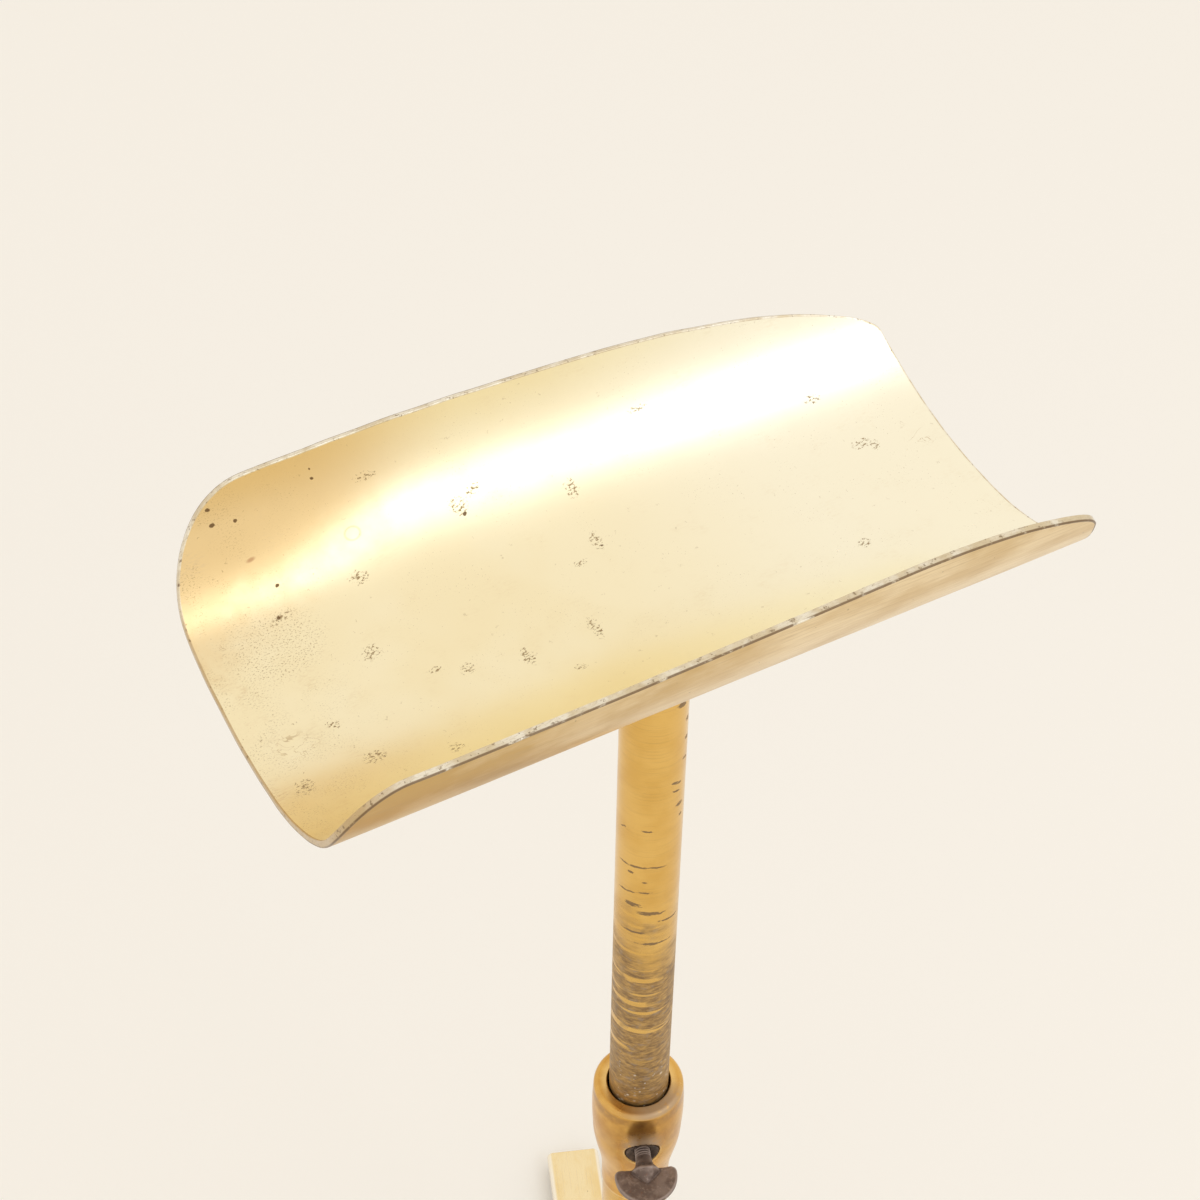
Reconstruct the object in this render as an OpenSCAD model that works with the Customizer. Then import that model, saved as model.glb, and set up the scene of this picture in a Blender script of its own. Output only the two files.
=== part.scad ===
// Height-adjustable cradle stand: a bent-sheet trough on a telescopic post with a
// thumb-screw collar, carried by three ogee legs. Z is up, the floor is z = 0, the
// post stands on the Z axis and the trough runs along X.

/* [Trough] */
// Length of the trough along its lowest line
tray_length = 251; // [200:1:300]
// Inside radius of the trough
tray_radius = 70.6; // [66:0.2:90]
// Thickness of the sheet
tray_sheet = 2.2; // [1.5:0.1:3]
// Girth from the lowest line to the front lip, at mid length
front_girth = 98.6; // [70:0.2:99]
// Girth from the lowest line to the back lip, at mid length
back_girth = 84; // [70:0.2:95]
// How far the middle of the trough sits along X from the post
tray_shift = -7.5; // [-15:0.5:15]
// Height of the trough's lowest inside line above the collar's top, as set
post_showing = 256; // [160:1:370]

/* [Saddle] */
// Length of the saddle's pad along the trough
saddle_length = 78; // [50:1:120]
// Width of the saddle's pad across the trough
saddle_width = 46; // [34:1:60]
// Thickness of the saddle's pad
saddle_pad = 3.2; // [2:0.1:5]
// Height of the saddle below the trough's lowest inside line
saddle_drop = 26; // [20:1:40]

/* [Post] */
// Outside diameter of the sliding tube
inner_od = 22; // [18:0.2:24]
// Wall of the sliding tube
inner_wall = 1.5; // [1:0.1:2]
// Outside diameter of the fixed tube
outer_od = 25; // [24.8:0.2:30]
// Wall of the fixed tube
outer_wall = 1.1; // [1:0.1:1.2]
// Radial running clearance of the sliding fits
slide_gap = 0.05; // [0.02:0.01:0.1]
// How far the post can be raised from its set height, up to its stop
lift_up = 120; // [60:1:130]
// How far the post can be lowered from its set height, down to its buffer
lift_down = 100; // [60:1:110]

/* [Collar] */
// Height of the collar's top above the floor
collar_top = 350; // [330:1:420]
// Height of the collar
collar_height = 64; // [58:1:70]
// Outside diameter of the collar's drum
collar_od = 33.5; // [32:0.5:38]
// Depth of the thumb screw's axis below the collar's top
screw_depth = 25; // [20:1:27]
// Direction that the thumb screw points, in degrees about Z
screw_azimuth = -112; // [-180:1:180]

/* [Thumb screw] */
// Diameter of the threaded shank
shank_d = 6; // [5:0.5:7]
// Width of the half-moon head
head_width = 23.4; // [18:0.2:26]
// Length of the half-moon head along the screw
head_length = 15; // [12:0.5:20]
// Thickness of the head
head_thick = 2.8; // [2:0.1:4]

/* [Base] */
// Number of legs
leg_count = 3; // [3:1:3]
// Direction of the first leg, in degrees about Z
leg_azimuth = 69; // [0:1:119]
// Distance from the post's axis to a leg's end
leg_reach = 181; // [160:1:240]
// Width of a leg
leg_width = 26; // [20:1:28]
// Thickness of a leg
leg_thick = 10; // [8:0.5:12]
// Angle at which a leg's middle stretch runs down
leg_slope = 42; // [30:1:50]
// Thickness of the pad under each foot
pad_thick = 3; // [2:0.5:4]

/* [Hidden] */
$fn = 96;
eps = 0.5;

// Heights up the post
tray_z = collar_top + post_showing;
saddle_z = tray_z - saddle_drop;
washer_thick = 1;
tube_top = saddle_z - washer_thick;
socket_depth = 31;
shoulder_z = collar_top - collar_height + socket_depth;
stop_gap = 0.3;
guide_top = shoulder_z - stop_gap - lift_up;
guide_height = 15;
end_play = 0.1;
plug_head = 3;
guide_bottom = guide_top - end_play - guide_height;
screw_head_top = guide_bottom - end_play;

// Radii of the sliding fits
inner_r = inner_od / 2;
outer_r = outer_od / 2;
tube_bore_r = inner_r - inner_wall;
outer_bore_r = outer_r - outer_wall;
guide_r = outer_bore_r - slide_gap;
collar_bore_r = inner_r + slide_gap;
mouth_r = inner_r + 1.35;
mouth_depth = 4;

// Fasteners in the sliding tube
spigot_d = 12;
spigot_length = 17;
bush_length = 20;
pivot_d = 8;
plug_thread_d = 6;
plug_head_d = 14;
slot_width = 1.2;
slot_depth = 1.1;
end_bush_length = 14;
leather_height = 5;
leather_depth = 2.4;

// Thumb screw and its seat in the collar, as distances from the post's axis
screw_z = collar_top - screw_depth;
seat_d = 12.5;
seat_floor = 12.4;
seat_face = 14.6;
pad_face = inner_r + 0.03;
pad_length = 1.2;
tip_face = pad_face + pad_length;
hole_d = shank_d + 0.1;
shoulder_start = 17.5;
shoulder_end = 24;
shoulder_d = 10;
head_start = 23.2;
rib_d = 5;
rib_length = 5;

// Base
leg_bend_top = 45;
leg_bend_foot = 60;
leg_straight = 32;
tenon_r = 16;
leg_level_r = 34;
foot_z = pad_thick + leg_thick / 2;
bends = leg_bend_top + leg_bend_foot;
leg_top_z = foot_z + bends * (1 - cos(leg_slope)) + leg_straight * sin(leg_slope);
bend_end_r = leg_level_r + bends * sin(leg_slope) + leg_straight * cos(leg_slope);
leg_edge = 3;
edge_steps = 4;
bend_steps = 8;
leg_end_round = 1;
hub_r = 27;
hub_web = 7;
hub_bottom = leg_top_z - leg_thick / 2 - hub_web;
hub_shelf = leg_top_z + leg_thick / 2 + 5;
hub_top = hub_shelf + 20;
nut_grip = 8;
nut_r = 16.8;
outer_bottom = hub_bottom - nut_grip;
leg_screw_r = 22;
leg_screw_d = 5;
leg_screw_head_d = 9;
leg_screw_head = 2.5;
leg_screw_bite = 13;
buffer_top = screw_head_top - plug_head - lift_down - stop_gap;
buffer_height = 10;
foot_pad_d = 22;
foot_pad_r = leg_reach - 15;

// ---- Trough -------------------------------------------------------------

// Developed shape of the trough: how the lips rise and bow from end to end,
// how each end bows outwards, and the size of each corner as [along, around]
front_lean = 4.7;
front_bow = 3;
back_lean = -4.8;
back_bow = -5;
left_bow = 1.2;
right_bow = -14;
bow_at = 85;
front_left = [20, 28];
front_right = [90, 20];
back_left = [30, 41];
back_right = [81, 17];
steps = 10;
half = tray_length / 2;

// Outline of one half of the sheet before it is bowed, from the lowest line at the
// left end, round both corners, to the lowest line at the right end
function plain_half(girth, left, right) = concat(
    [for (i = [0:steps]) [-half, (girth - left[1]) * i / steps]],
    [for (i = [1:steps]) let (t = 90 * i / steps)
        [-half + left[0] * (1 - cos(t)), girth - left[1] * (1 - sin(t))]],
    [for (i = [1:steps - 1])
        [-half + left[0] + (tray_length - left[0] - right[0]) * i / steps, girth]],
    [for (i = [0:steps]) let (t = 90 * i / steps)
        [half - right[0] * (1 - sin(t)), girth - right[1] * (1 - cos(t))]],
    [for (i = [1:steps]) [half, (girth - right[1]) * (1 - i / steps)]]);

// A point of the sheet after its lip leans and bows and its ends bow
function bowed(p, girth, lean, bow) =
    let (u = p[0] / half,
        around = p[1] / girth * (girth + lean * u + bow * u * u),
        end_bow = (u < 0 ? left_bow : right_bow) * pow(around / bow_at, 2))
    [p[0] * (1 + end_bow / half), around];

// The same point seen from the side, once the sheet is bent round the trough
function raised(p) = [p[0], tray_radius * (1 - cos(p[1] / tray_radius * 180 / PI))];

function side_outline(girth, lean, bow, left, right) = concat(
    [[-half, -3 * tray_sheet]],
    [for (p = plain_half(girth, left, right)) raised(bowed(p, girth, lean, bow))],
    [[half, -3 * tray_sheet]]);

// Everything within an outline in X and Z, from the trough's middle to one side
module side_prism(outline, side) {
    depth = tray_radius + 2 * tray_sheet;
    translate([0, side > 0 ? depth : 0, 0])
        rotate([90, 0, 0])
            linear_extrude(depth)
                polygon(outline);
}

module tray() {
    color([0.93, 0.86, 0.66])
    translate([tray_shift, 0, tray_z])
    intersection() {
        translate([-half - eps, 0, tray_radius])
            rotate([0, 90, 0])
                difference() {
                    cylinder(r = tray_radius + tray_sheet, h = tray_length + 2 * eps);
                    translate([0, 0, -eps])
                        cylinder(r = tray_radius, h = tray_length + 4 * eps);
                }
        union() {
            side_prism(side_outline(front_girth, front_lean, front_bow,
                front_left, front_right), -1);
            side_prism(side_outline(back_girth, back_lean, back_bow,
                back_left, back_right), 1);
        }
    }
}

// ---- Saddle and sliding post -------------------------------------------

// A disc-ended slab: the saddle pad's outline, seen from above
module pad_outline() {
    end_r = saddle_width / 2;
    square([saddle_length - 2 * end_r, saddle_width], center = true);
    for (side = [-1, 1])
        translate([side * (saddle_length / 2 - end_r), 0])
            circle(end_r);
}

module tray_saddle() {
    sheet_r = tray_radius + tray_sheet;
    neck_r = inner_r + 0.6;
    flare_r = 19;
    flare_z = saddle_drop - tray_sheet;
    color([0.84, 0.65, 0.32])
    union() {
        intersection() {
            translate([0, 0, saddle_z])
                linear_extrude(saddle_drop + 10)
                    pad_outline();
            translate([-saddle_length, 0, tray_z + tray_radius])
                rotate([0, 90, 0])
                    difference() {
                        cylinder(r = sheet_r + saddle_pad, h = 2 * saddle_length);
                        translate([0, 0, -eps])
                            cylinder(r = sheet_r, h = 2 * saddle_length + 2 * eps);
                    }
        }
        difference() {
            translate([0, 0, saddle_z])
                rotate_extrude()
                    difference() {
                        square([flare_r, flare_z]);
                        translate([neck_r + flare_r - neck_r, 5])
                            circle(flare_r - neck_r);
                        translate([neck_r, -eps])
                            square([flare_r, 5 + eps]);
                    }
            translate([-saddle_length, 0, tray_z + tray_radius])
                rotate([0, 90, 0])
                    cylinder(r = sheet_r + saddle_pad / 2, h = 2 * saddle_length);
        }
        translate([0, 0, saddle_z - spigot_length])
            cylinder(d = spigot_d, h = spigot_length + 1);
    }
}

module seat_washer() {
    color([0.78, 0.6, 0.3])
    translate([0, 0, tube_top])
    difference() {
        cylinder(r = inner_r + 0.4, h = washer_thick);
        translate([0, 0, -eps])
            cylinder(d = spigot_d + 0.2, h = washer_thick + 2 * eps);
    }
}

module top_bush() {
    color([0.8, 0.62, 0.3])
    translate([0, 0, tube_top - bush_length])
    difference() {
        cylinder(r = tube_bore_r, h = bush_length);
        translate([0, 0, -eps])
            cylinder(d = spigot_d, h = bush_length + 2 * eps);
    }
}

module inner_tube() {
    color([0.84, 0.65, 0.32])
    translate([0, 0, guide_top])
    difference() {
        cylinder(r = inner_r, h = tube_top - guide_top);
        translate([0, 0, -eps])
            cylinder(r = tube_bore_r, h = tube_top - guide_top + 2 * eps);
    }
}

module end_bush() {
    color([0.8, 0.62, 0.3])
    translate([0, 0, guide_top])
    difference() {
        cylinder(r = tube_bore_r, h = end_bush_length);
        translate([0, 0, -eps])
            cylinder(d = plug_thread_d, h = end_bush_length + 2 * eps);
    }
}

// Bush that keeps the sliding tube central, and that stops under the collar
module guide_plug() {
    color([0.76, 0.58, 0.28])
    translate([0, 0, guide_bottom])
    difference() {
        cylinder(r = guide_r, h = guide_height);
        translate([0, 0, -eps])
            cylinder(r = pivot_d / 2 + slide_gap, h = guide_height + 2 * eps);
        translate([0, 0, (guide_height - leather_height) / 2])
            difference() {
                cylinder(r = guide_r + eps, h = leather_height);
                translate([0, 0, -eps])
                    cylinder(r = guide_r - leather_depth, h = leather_height + 2 * eps);
            }
    }
}

module guide_leather() {
    color([0.45, 0.28, 0.16])
    translate([0, 0, guide_bottom + (guide_height - leather_height) / 2])
    difference() {
        cylinder(r = guide_r, h = leather_height);
        translate([0, 0, -eps])
            cylinder(r = guide_r - leather_depth, h = leather_height + 2 * eps);
    }
}

// Slot for a screwdriver, cut upwards from the face of a screw's head
module driver_slot(head_d) {
    translate([-head_d, -slot_width / 2, -eps])
        cube([2 * head_d, slot_width, slot_depth + eps]);
}

// Shouldered screw that holds the guide plug and lets the tube turn on it
module plug_screw() {
    color([0.45, 0.44, 0.43])
    translate([0, 0, screw_head_top])
    difference() {
        union() {
            translate([0, 0, -plug_head])
                cylinder(d = plug_head_d, h = plug_head);
            cylinder(d = pivot_d, h = guide_top - screw_head_top);
            cylinder(d = plug_thread_d, h = guide_height + end_bush_length - 2);
        }
        translate([0, 0, -plug_head])
            driver_slot(plug_head_d);
    }
}

// ---- Collar and thumb screw --------------------------------------------

// Places its children at the thumb screw, with Z out along the screw
module at_screw() {
    translate([0, 0, screw_z])
        rotate([0, 0, screw_azimuth])
            rotate([0, 90, 0])
                children();
}

// Half of the collar's section: drum with a round rim, then a goblet taper
function ease(t) = (1 - cos(180 * t)) / 2;

module collar_section() {
    drum_r = collar_od / 2;
    foot_r = outer_r + 0.4;
    rim = 2.2;
    belly = 0.4;
    drum_end = collar_height - 25;
    taper_end = collar_height - 57;
    translate([collar_bore_r - 1, 0])
        square([foot_r - collar_bore_r + 1, taper_end + eps]);
    polygon(concat(
        [[collar_bore_r - 1, taper_end]],
        [for (i = [0:12]) [foot_r + (drum_r - foot_r) * ease(i / 12),
            taper_end + (drum_end - taper_end) * i / 12]],
        [for (i = [1:8]) let (t = i / 9)
            [drum_r + belly * sin(180 * t), drum_end + (collar_height - rim - drum_end) * t]],
        [[drum_r, collar_height - rim], [collar_bore_r - 1, collar_height - rim]]));
    square_w = drum_r - rim - collar_bore_r + 1;
    translate([collar_bore_r - 1, collar_height - rim - eps])
        square([square_w, rim + eps]);
    translate([drum_r - rim, collar_height - rim])
        circle(rim);
}

module collar() {
    color([0.85, 0.62, 0.26])
    difference() {
        translate([0, 0, collar_top - collar_height])
            rotate_extrude()
                collar_section();
        translate([0, 0, collar_top - collar_height - eps])
            cylinder(r = outer_r, h = socket_depth + eps);
        translate([0, 0, collar_top - collar_height])
            cylinder(r = collar_bore_r, h = collar_height + eps);
        translate([0, 0, collar_top - mouth_depth])
            cylinder(r = mouth_r, h = mouth_depth + eps);
        at_screw()
            cylinder(d = hole_d, h = collar_od);
        at_screw()
            translate([0, 0, seat_floor])
                cylinder(d = seat_d, h = collar_od);
    }
}

module screw_bush() {
    color([0.28, 0.2, 0.16])
    at_screw()
    difference() {
        translate([0, 0, seat_floor])
            cylinder(d = seat_d, h = seat_face - seat_floor);
        cylinder(d = hole_d, h = collar_od);
    }
}

// Small slug between the screw's tip and the sliding tube
module clamp_pad() {
    color([0.78, 0.6, 0.3])
    at_screw()
        translate([0, 0, pad_face])
            cylinder(d = shank_d - 0.1, h = pad_length);
}

// Half moon with rounded horns, drawn from its chord outwards along Y
module half_moon() {
    half_w = head_width / 2;
    horn = 2.6;
    horn_rise = 1.2;
    polygon([for (i = [0:36]) let (t = 180 * i / 36)
        [half_w * cos(t), horn + (head_length - horn) * sin(t)]]);
    for (side = [-1, 1])
        translate([side * (half_w - horn), horn])
            circle(horn);
    translate([-half_w + horn, horn_rise])
        square([head_width - 2 * horn, horn]);
}

module thumb_screw() {
    color([0.3, 0.21, 0.17])
    at_screw()
    union() {
        translate([0, 0, tip_face])
            cylinder(d = shank_d, h = shoulder_start - tip_face + eps);
        translate([0, 0, shoulder_start])
            cylinder(d1 = shank_d, d2 = shoulder_d, h = shoulder_end - shoulder_start);
        translate([0, 0, shoulder_end - 0.01])
            cylinder(d1 = shoulder_d, d2 = rib_d, h = rib_length);
        translate([0, 0, head_start])
            rotate([90, 0, 90])
                translate([0, 0, -head_thick / 2])
                    linear_extrude(head_thick)
                        half_moon();
    }
}

// ---- Fixed tube and base ------------------------------------------------

module outer_tube() {
    color([0.84, 0.65, 0.32])
    translate([0, 0, outer_bottom])
    difference() {
        cylinder(r = outer_r, h = shoulder_z - outer_bottom);
        translate([0, 0, -eps])
            cylinder(r = outer_bore_r, h = shoulder_z - outer_bottom + 2 * eps);
    }
}

module bottom_plug() {
    color([0.55, 0.4, 0.24])
    translate([0, 0, outer_bottom])
        cylinder(r = outer_bore_r, h = buffer_top - buffer_height - outer_bottom);
}

module buffer_cork() {
    color([0.72, 0.55, 0.36])
    translate([0, 0, buffer_top - buffer_height])
        cylinder(r = outer_bore_r - 0.4, h = buffer_height);
}

// Places its children on leg number n, with X out along the leg
module on_leg(n) {
    rotate([0, 0, leg_azimuth + 360 / leg_count * (n - 1)])
        children();
}

module hub_section() {
    neck_r = outer_r + 3;
    cove = hub_r - neck_r - 2;
    square([hub_r - 2, hub_shelf - hub_bottom]);
    translate([0, 2])
        square([hub_r, hub_shelf - hub_bottom - 4]);
    for (z = [2, hub_shelf - hub_bottom - 2])
        translate([hub_r - 2, z])
            circle(2);
    translate([0, hub_shelf - hub_bottom - eps])
        difference() {
            square([neck_r + cove, cove + eps]);
            translate([neck_r + cove, cove + eps])
                circle(cove);
        }
    square([neck_r, hub_top - hub_bottom - 1.5]);
    square([neck_r - 1.5, hub_top - hub_bottom]);
    translate([neck_r - 1.5, hub_top - hub_bottom - 1.5])
        circle(1.5);
}

module hub() {
    color([0.83, 0.63, 0.3])
    difference() {
        translate([0, 0, hub_bottom])
            rotate_extrude()
                hub_section();
        translate([0, 0, hub_bottom - eps])
            cylinder(r = outer_r, h = hub_top - hub_bottom + 2 * eps);
        for (n = [1:leg_count]) on_leg(n) {
            translate([tenon_r, -leg_width / 2, leg_top_z - leg_thick / 2])
                cube([hub_r, leg_width, leg_thick]);
            translate([leg_screw_r, 0, hub_bottom - eps])
                cylinder(d = leg_screw_d, h = hub_web + 2 * eps);
        }
    }
}

module hub_nut() {
    dome = 9;
    color([0.83, 0.63, 0.3])
    difference() {
        translate([0, 0, outer_bottom - dome])
            rotate_extrude()
                union() {
                    translate([0, dome])
                        square([nut_r, nut_grip]);
                    translate([0, dome - 2])
                        square([nut_r - 2, 3]);
                    translate([0, dome])
                        intersection() {
                            circle(dome);
                            translate([0, -dome])
                                square([dome, dome + 1]);
                        }
                }
        translate([0, 0, outer_bottom])
            cylinder(r = outer_r, h = nut_grip + eps);
    }
}

// Section of a leg as [across, up] points: a bar with round edges
function bar_section(width, thick, edge) = [
    for (corner = [0:3], i = [0:edge_steps])
        let (t = 90 * corner + 90 * i / edge_steps,
            side_x = (corner == 0 || corner == 3) ? 1 : -1,
            side_y = corner < 2 ? 1 : -1)
        [side_x * (width / 2 - edge) + edge * cos(t),
            side_y * (thick / 2 - edge) + edge * sin(t)]];

// Stations along a leg as [out, up, slope down]: level at the hub, a bend down, a
// straight run, a bend back to level, and the foot
leg_stations = concat(
    [[tenon_r, leg_top_z, 0]],
    [for (i = [0:bend_steps]) let (t = leg_slope * i / bend_steps)
        [leg_level_r + leg_bend_top * sin(t), leg_top_z - leg_bend_top * (1 - cos(t)), t]],
    [for (i = [0:bend_steps]) let (t = leg_slope * (1 - i / bend_steps))
        [bend_end_r - leg_bend_foot * sin(t), foot_z + leg_bend_foot * (1 - cos(t)), t]],
    [[leg_reach - leg_end_round, foot_z, 0]]);

function ring_at(station, points) = [
    for (p = points)
        [station[0] + p[1] * sin(station[2]), p[0], station[1] + p[1] * cos(station[2])]];

// A leg is one bar swept along its stations, with its far end eased by one more ring
module leg() {
    full = bar_section(leg_width, leg_thick, leg_edge);
    eased = bar_section(leg_width - 2 * leg_end_round, leg_thick - 2 * leg_end_round,
        leg_edge - leg_end_round);
    count = len(full);
    rings = concat([for (s = leg_stations) ring_at(s, full)],
        [ring_at([leg_reach, foot_z, 0], eased)]);
    last = len(rings) - 1;
    sides = [for (k = [0:last - 1], i = [0:count - 1]) let (j = (i + 1) % count)
        [k * count + i, k * count + j, (k + 1) * count + j, (k + 1) * count + i]];
    caps = [[for (i = [count - 1:-1:0]) i], [for (i = [0:count - 1]) last * count + i]];
    difference() {
        polyhedron([for (ring = rings) each ring], concat(sides, caps));
        translate([leg_screw_r, 0, leg_top_z - leg_thick / 2 - eps])
            cylinder(d = leg_screw_d, h = leg_screw_bite - hub_web + eps);
    }
}

module leg_number(n) {
    color([0.9, 0.74, 0.42])
        on_leg(n)
            leg();
}

module leg_screws() {
    color([0.45, 0.44, 0.43])
    for (n = [1:leg_count]) on_leg(n)
        translate([leg_screw_r, 0, hub_bottom])
            difference() {
                union() {
                    translate([0, 0, -leg_screw_head])
                        cylinder(d = leg_screw_head_d, h = leg_screw_head);
                    cylinder(d = leg_screw_d, h = leg_screw_bite);
                }
                translate([0, 0, -leg_screw_head])
                    driver_slot(leg_screw_head_d);
            }
}

module foot_pad(n) {
    color([0.25, 0.2, 0.17])
        on_leg(n)
            translate([foot_pad_r, 0, 0])
                cylinder(d = foot_pad_d, h = pad_thick);
}

tray();
tray_saddle();
seat_washer();
top_bush();
inner_tube();
end_bush();
guide_plug();
guide_leather();
plug_screw();
collar();
screw_bush();
clamp_pad();
thumb_screw();
outer_tube();
bottom_plug();
buffer_cork();
hub();
hub_nut();
leg_number(1);  // leg_1
leg_number(2);  // leg_2
leg_number(3);  // leg_3
leg_screws();
foot_pad(1);  // foot_pad_1
foot_pad(2);  // foot_pad_2
foot_pad(3);  // foot_pad_3
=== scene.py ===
"""Looks of the brass trough stand: camera, light, materials and the finer meshes that
stand for its CAD nodes. Lengths are in metres; names that end in _mm are millimetres."""
import math

import bmesh
import bpy
from mathutils import Matrix, Vector, geometry, kdtree, noise


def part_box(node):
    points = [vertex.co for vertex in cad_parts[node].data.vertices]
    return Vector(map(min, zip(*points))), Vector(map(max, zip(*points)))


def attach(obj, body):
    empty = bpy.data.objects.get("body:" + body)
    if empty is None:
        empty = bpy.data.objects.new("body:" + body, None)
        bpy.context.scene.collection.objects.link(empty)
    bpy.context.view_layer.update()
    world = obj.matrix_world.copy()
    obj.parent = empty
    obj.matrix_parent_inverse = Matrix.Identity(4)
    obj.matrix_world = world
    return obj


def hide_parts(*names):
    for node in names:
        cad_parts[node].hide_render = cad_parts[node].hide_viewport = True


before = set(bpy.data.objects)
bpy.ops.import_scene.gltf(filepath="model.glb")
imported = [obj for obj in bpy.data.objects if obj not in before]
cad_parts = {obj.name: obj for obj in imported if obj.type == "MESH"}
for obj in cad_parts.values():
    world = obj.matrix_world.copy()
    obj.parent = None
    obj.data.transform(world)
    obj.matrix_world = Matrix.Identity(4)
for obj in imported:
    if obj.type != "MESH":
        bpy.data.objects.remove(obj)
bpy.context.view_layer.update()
MM = 0.001

# ---- Places taken from the frame ----------------------------------------

COLLAR_LOW, COLLAR_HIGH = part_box("collar")
TUBE_LOW, TUBE_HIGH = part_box("inner_tube")
FIXED_LOW, FIXED_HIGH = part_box("outer_tube")
TRAY_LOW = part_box("tray")[0]
SCREW_LOW, SCREW_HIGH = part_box("thumb_screw")
TUBE_R = (TUBE_HIGH.x - TUBE_LOW.x) / 2

# The trough's own dimensions, as the CAD has them
SHEET = 2.2 * MM
TRAY_R = 70.6 * MM
TRAY_HALF = 125.5 * MM
TRAY_SHIFT = -7.5 * MM
TRAY_Z = TRAY_LOW.z + SHEET

# The thumb screw's axis, from its box: it is level and crosses the post's axis
SCREW_AT = (SCREW_LOW + SCREW_HIGH) / 2
SCREW_AZIMUTH = math.radians(-112)


# ---- Camera --------------------------------------------------------------

CAM_HEADING = math.radians(60.57)   # direction it looks, about Z from +X
CAM_DOWN = math.radians(46.29)      # how far below level it looks
CAM_ROLL = math.radians(-1.035)
CAM_DEPTH = 788.7 * MM              # along the view, to the trough over the post
CAM_ASIDE = -17.54 * MM             # the view's middle, right of that point
CAM_ABOVE = 0.96 * MM               # and above it
LENS_MM = 78.77
SENSOR_MM = 36


def make_camera():
    data = bpy.data.cameras.new("camera")
    data.lens = LENS_MM
    data.sensor_width = SENSOR_MM
    data.dof.use_dof = False
    data.clip_start = 0.01
    data.clip_end = 50
    cam = bpy.data.objects.new("camera", data)
    bpy.context.scene.collection.objects.link(cam)
    forward = Vector((math.cos(CAM_HEADING) * math.cos(CAM_DOWN),
                      math.sin(CAM_HEADING) * math.cos(CAM_DOWN),
                      -math.sin(CAM_DOWN)))
    level_right = forward.cross(Vector((0, 0, 1))).normalized()
    level_up = level_right.cross(forward)
    right = level_right * math.cos(CAM_ROLL) - level_up * math.sin(CAM_ROLL)
    up = right.cross(forward)
    aim = Vector((0, 0, TRAY_Z)) + right * CAM_ASIDE + up * CAM_ABOVE
    turn = Matrix((right, up, -forward)).transposed().to_4x4()
    cam.matrix_world = Matrix.Translation(aim - forward * CAM_DEPTH) @ turn
    bpy.context.scene.camera = cam


# ---- Stage and light -----------------------------------------------------

PAPER = (0.93, 0.928, 0.925, 1)
STUDIO = (1.0, 0.933, 0.828, 1)
STUDIO_STRENGTH = 0.97
LIT_AT = Vector((0, 0, 0.62))       # where the light aims, just under the trough


def area_light(name, azimuth, elevation, distance, size, power, tint):
    """A soft box seen from the trough at that azimuth (about Z from +X) and elevation."""
    data = bpy.data.lights.new(name, "AREA")
    data.shape = "RECTANGLE"
    data.size, data.size_y = size
    data.energy = power
    data.color = tint
    light = bpy.data.objects.new(name, data)
    turn, lift = math.radians(azimuth), math.radians(elevation)
    out = Vector((math.cos(turn) * math.cos(lift), math.sin(turn) * math.cos(lift),
                  math.sin(lift)))
    light.location = LIT_AT + out * distance
    light.rotation_mode = "QUATERNION"
    light.rotation_quaternion = (-out).to_track_quat("-Z", "Y")
    bpy.context.scene.collection.objects.link(light)


def make_stage():
    reach = 8.0
    corners = [(-reach, -reach, 0), (reach, -reach, 0), (reach, reach, 0), (-reach, reach, 0)]
    mesh = bpy.data.meshes.new("floor")
    mesh.from_pydata(corners, [], [(0, 1, 2, 3)])
    floor = bpy.data.objects.new("floor", mesh)
    bpy.context.scene.collection.objects.link(floor)
    paint = bpy.data.materials.new("floor_paper")
    paint.use_nodes = True
    shader = paint.node_tree.nodes["Principled BSDF"]
    shader.inputs["Base Color"].default_value = PAPER
    shader.inputs["Roughness"].default_value = 0.95
    shader.inputs["Specular IOR Level"].default_value = 0.1
    mesh.materials.append(paint)


def make_light():
    world = bpy.data.worlds.new("studio")
    world.use_nodes = True
    back = world.node_tree.nodes["Background"]
    back.inputs["Color"].default_value = STUDIO
    back.inputs["Strength"].default_value = STUDIO_STRENGTH
    bpy.context.scene.world = world
    area_light("key", -62, 39.5, 1.6, (1.2, 0.50), 3.05, (0.80, 0.88, 1.0))
    bpy.context.scene.view_settings.view_transform = "Standard"


# ---- Material building ---------------------------------------------------

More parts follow.
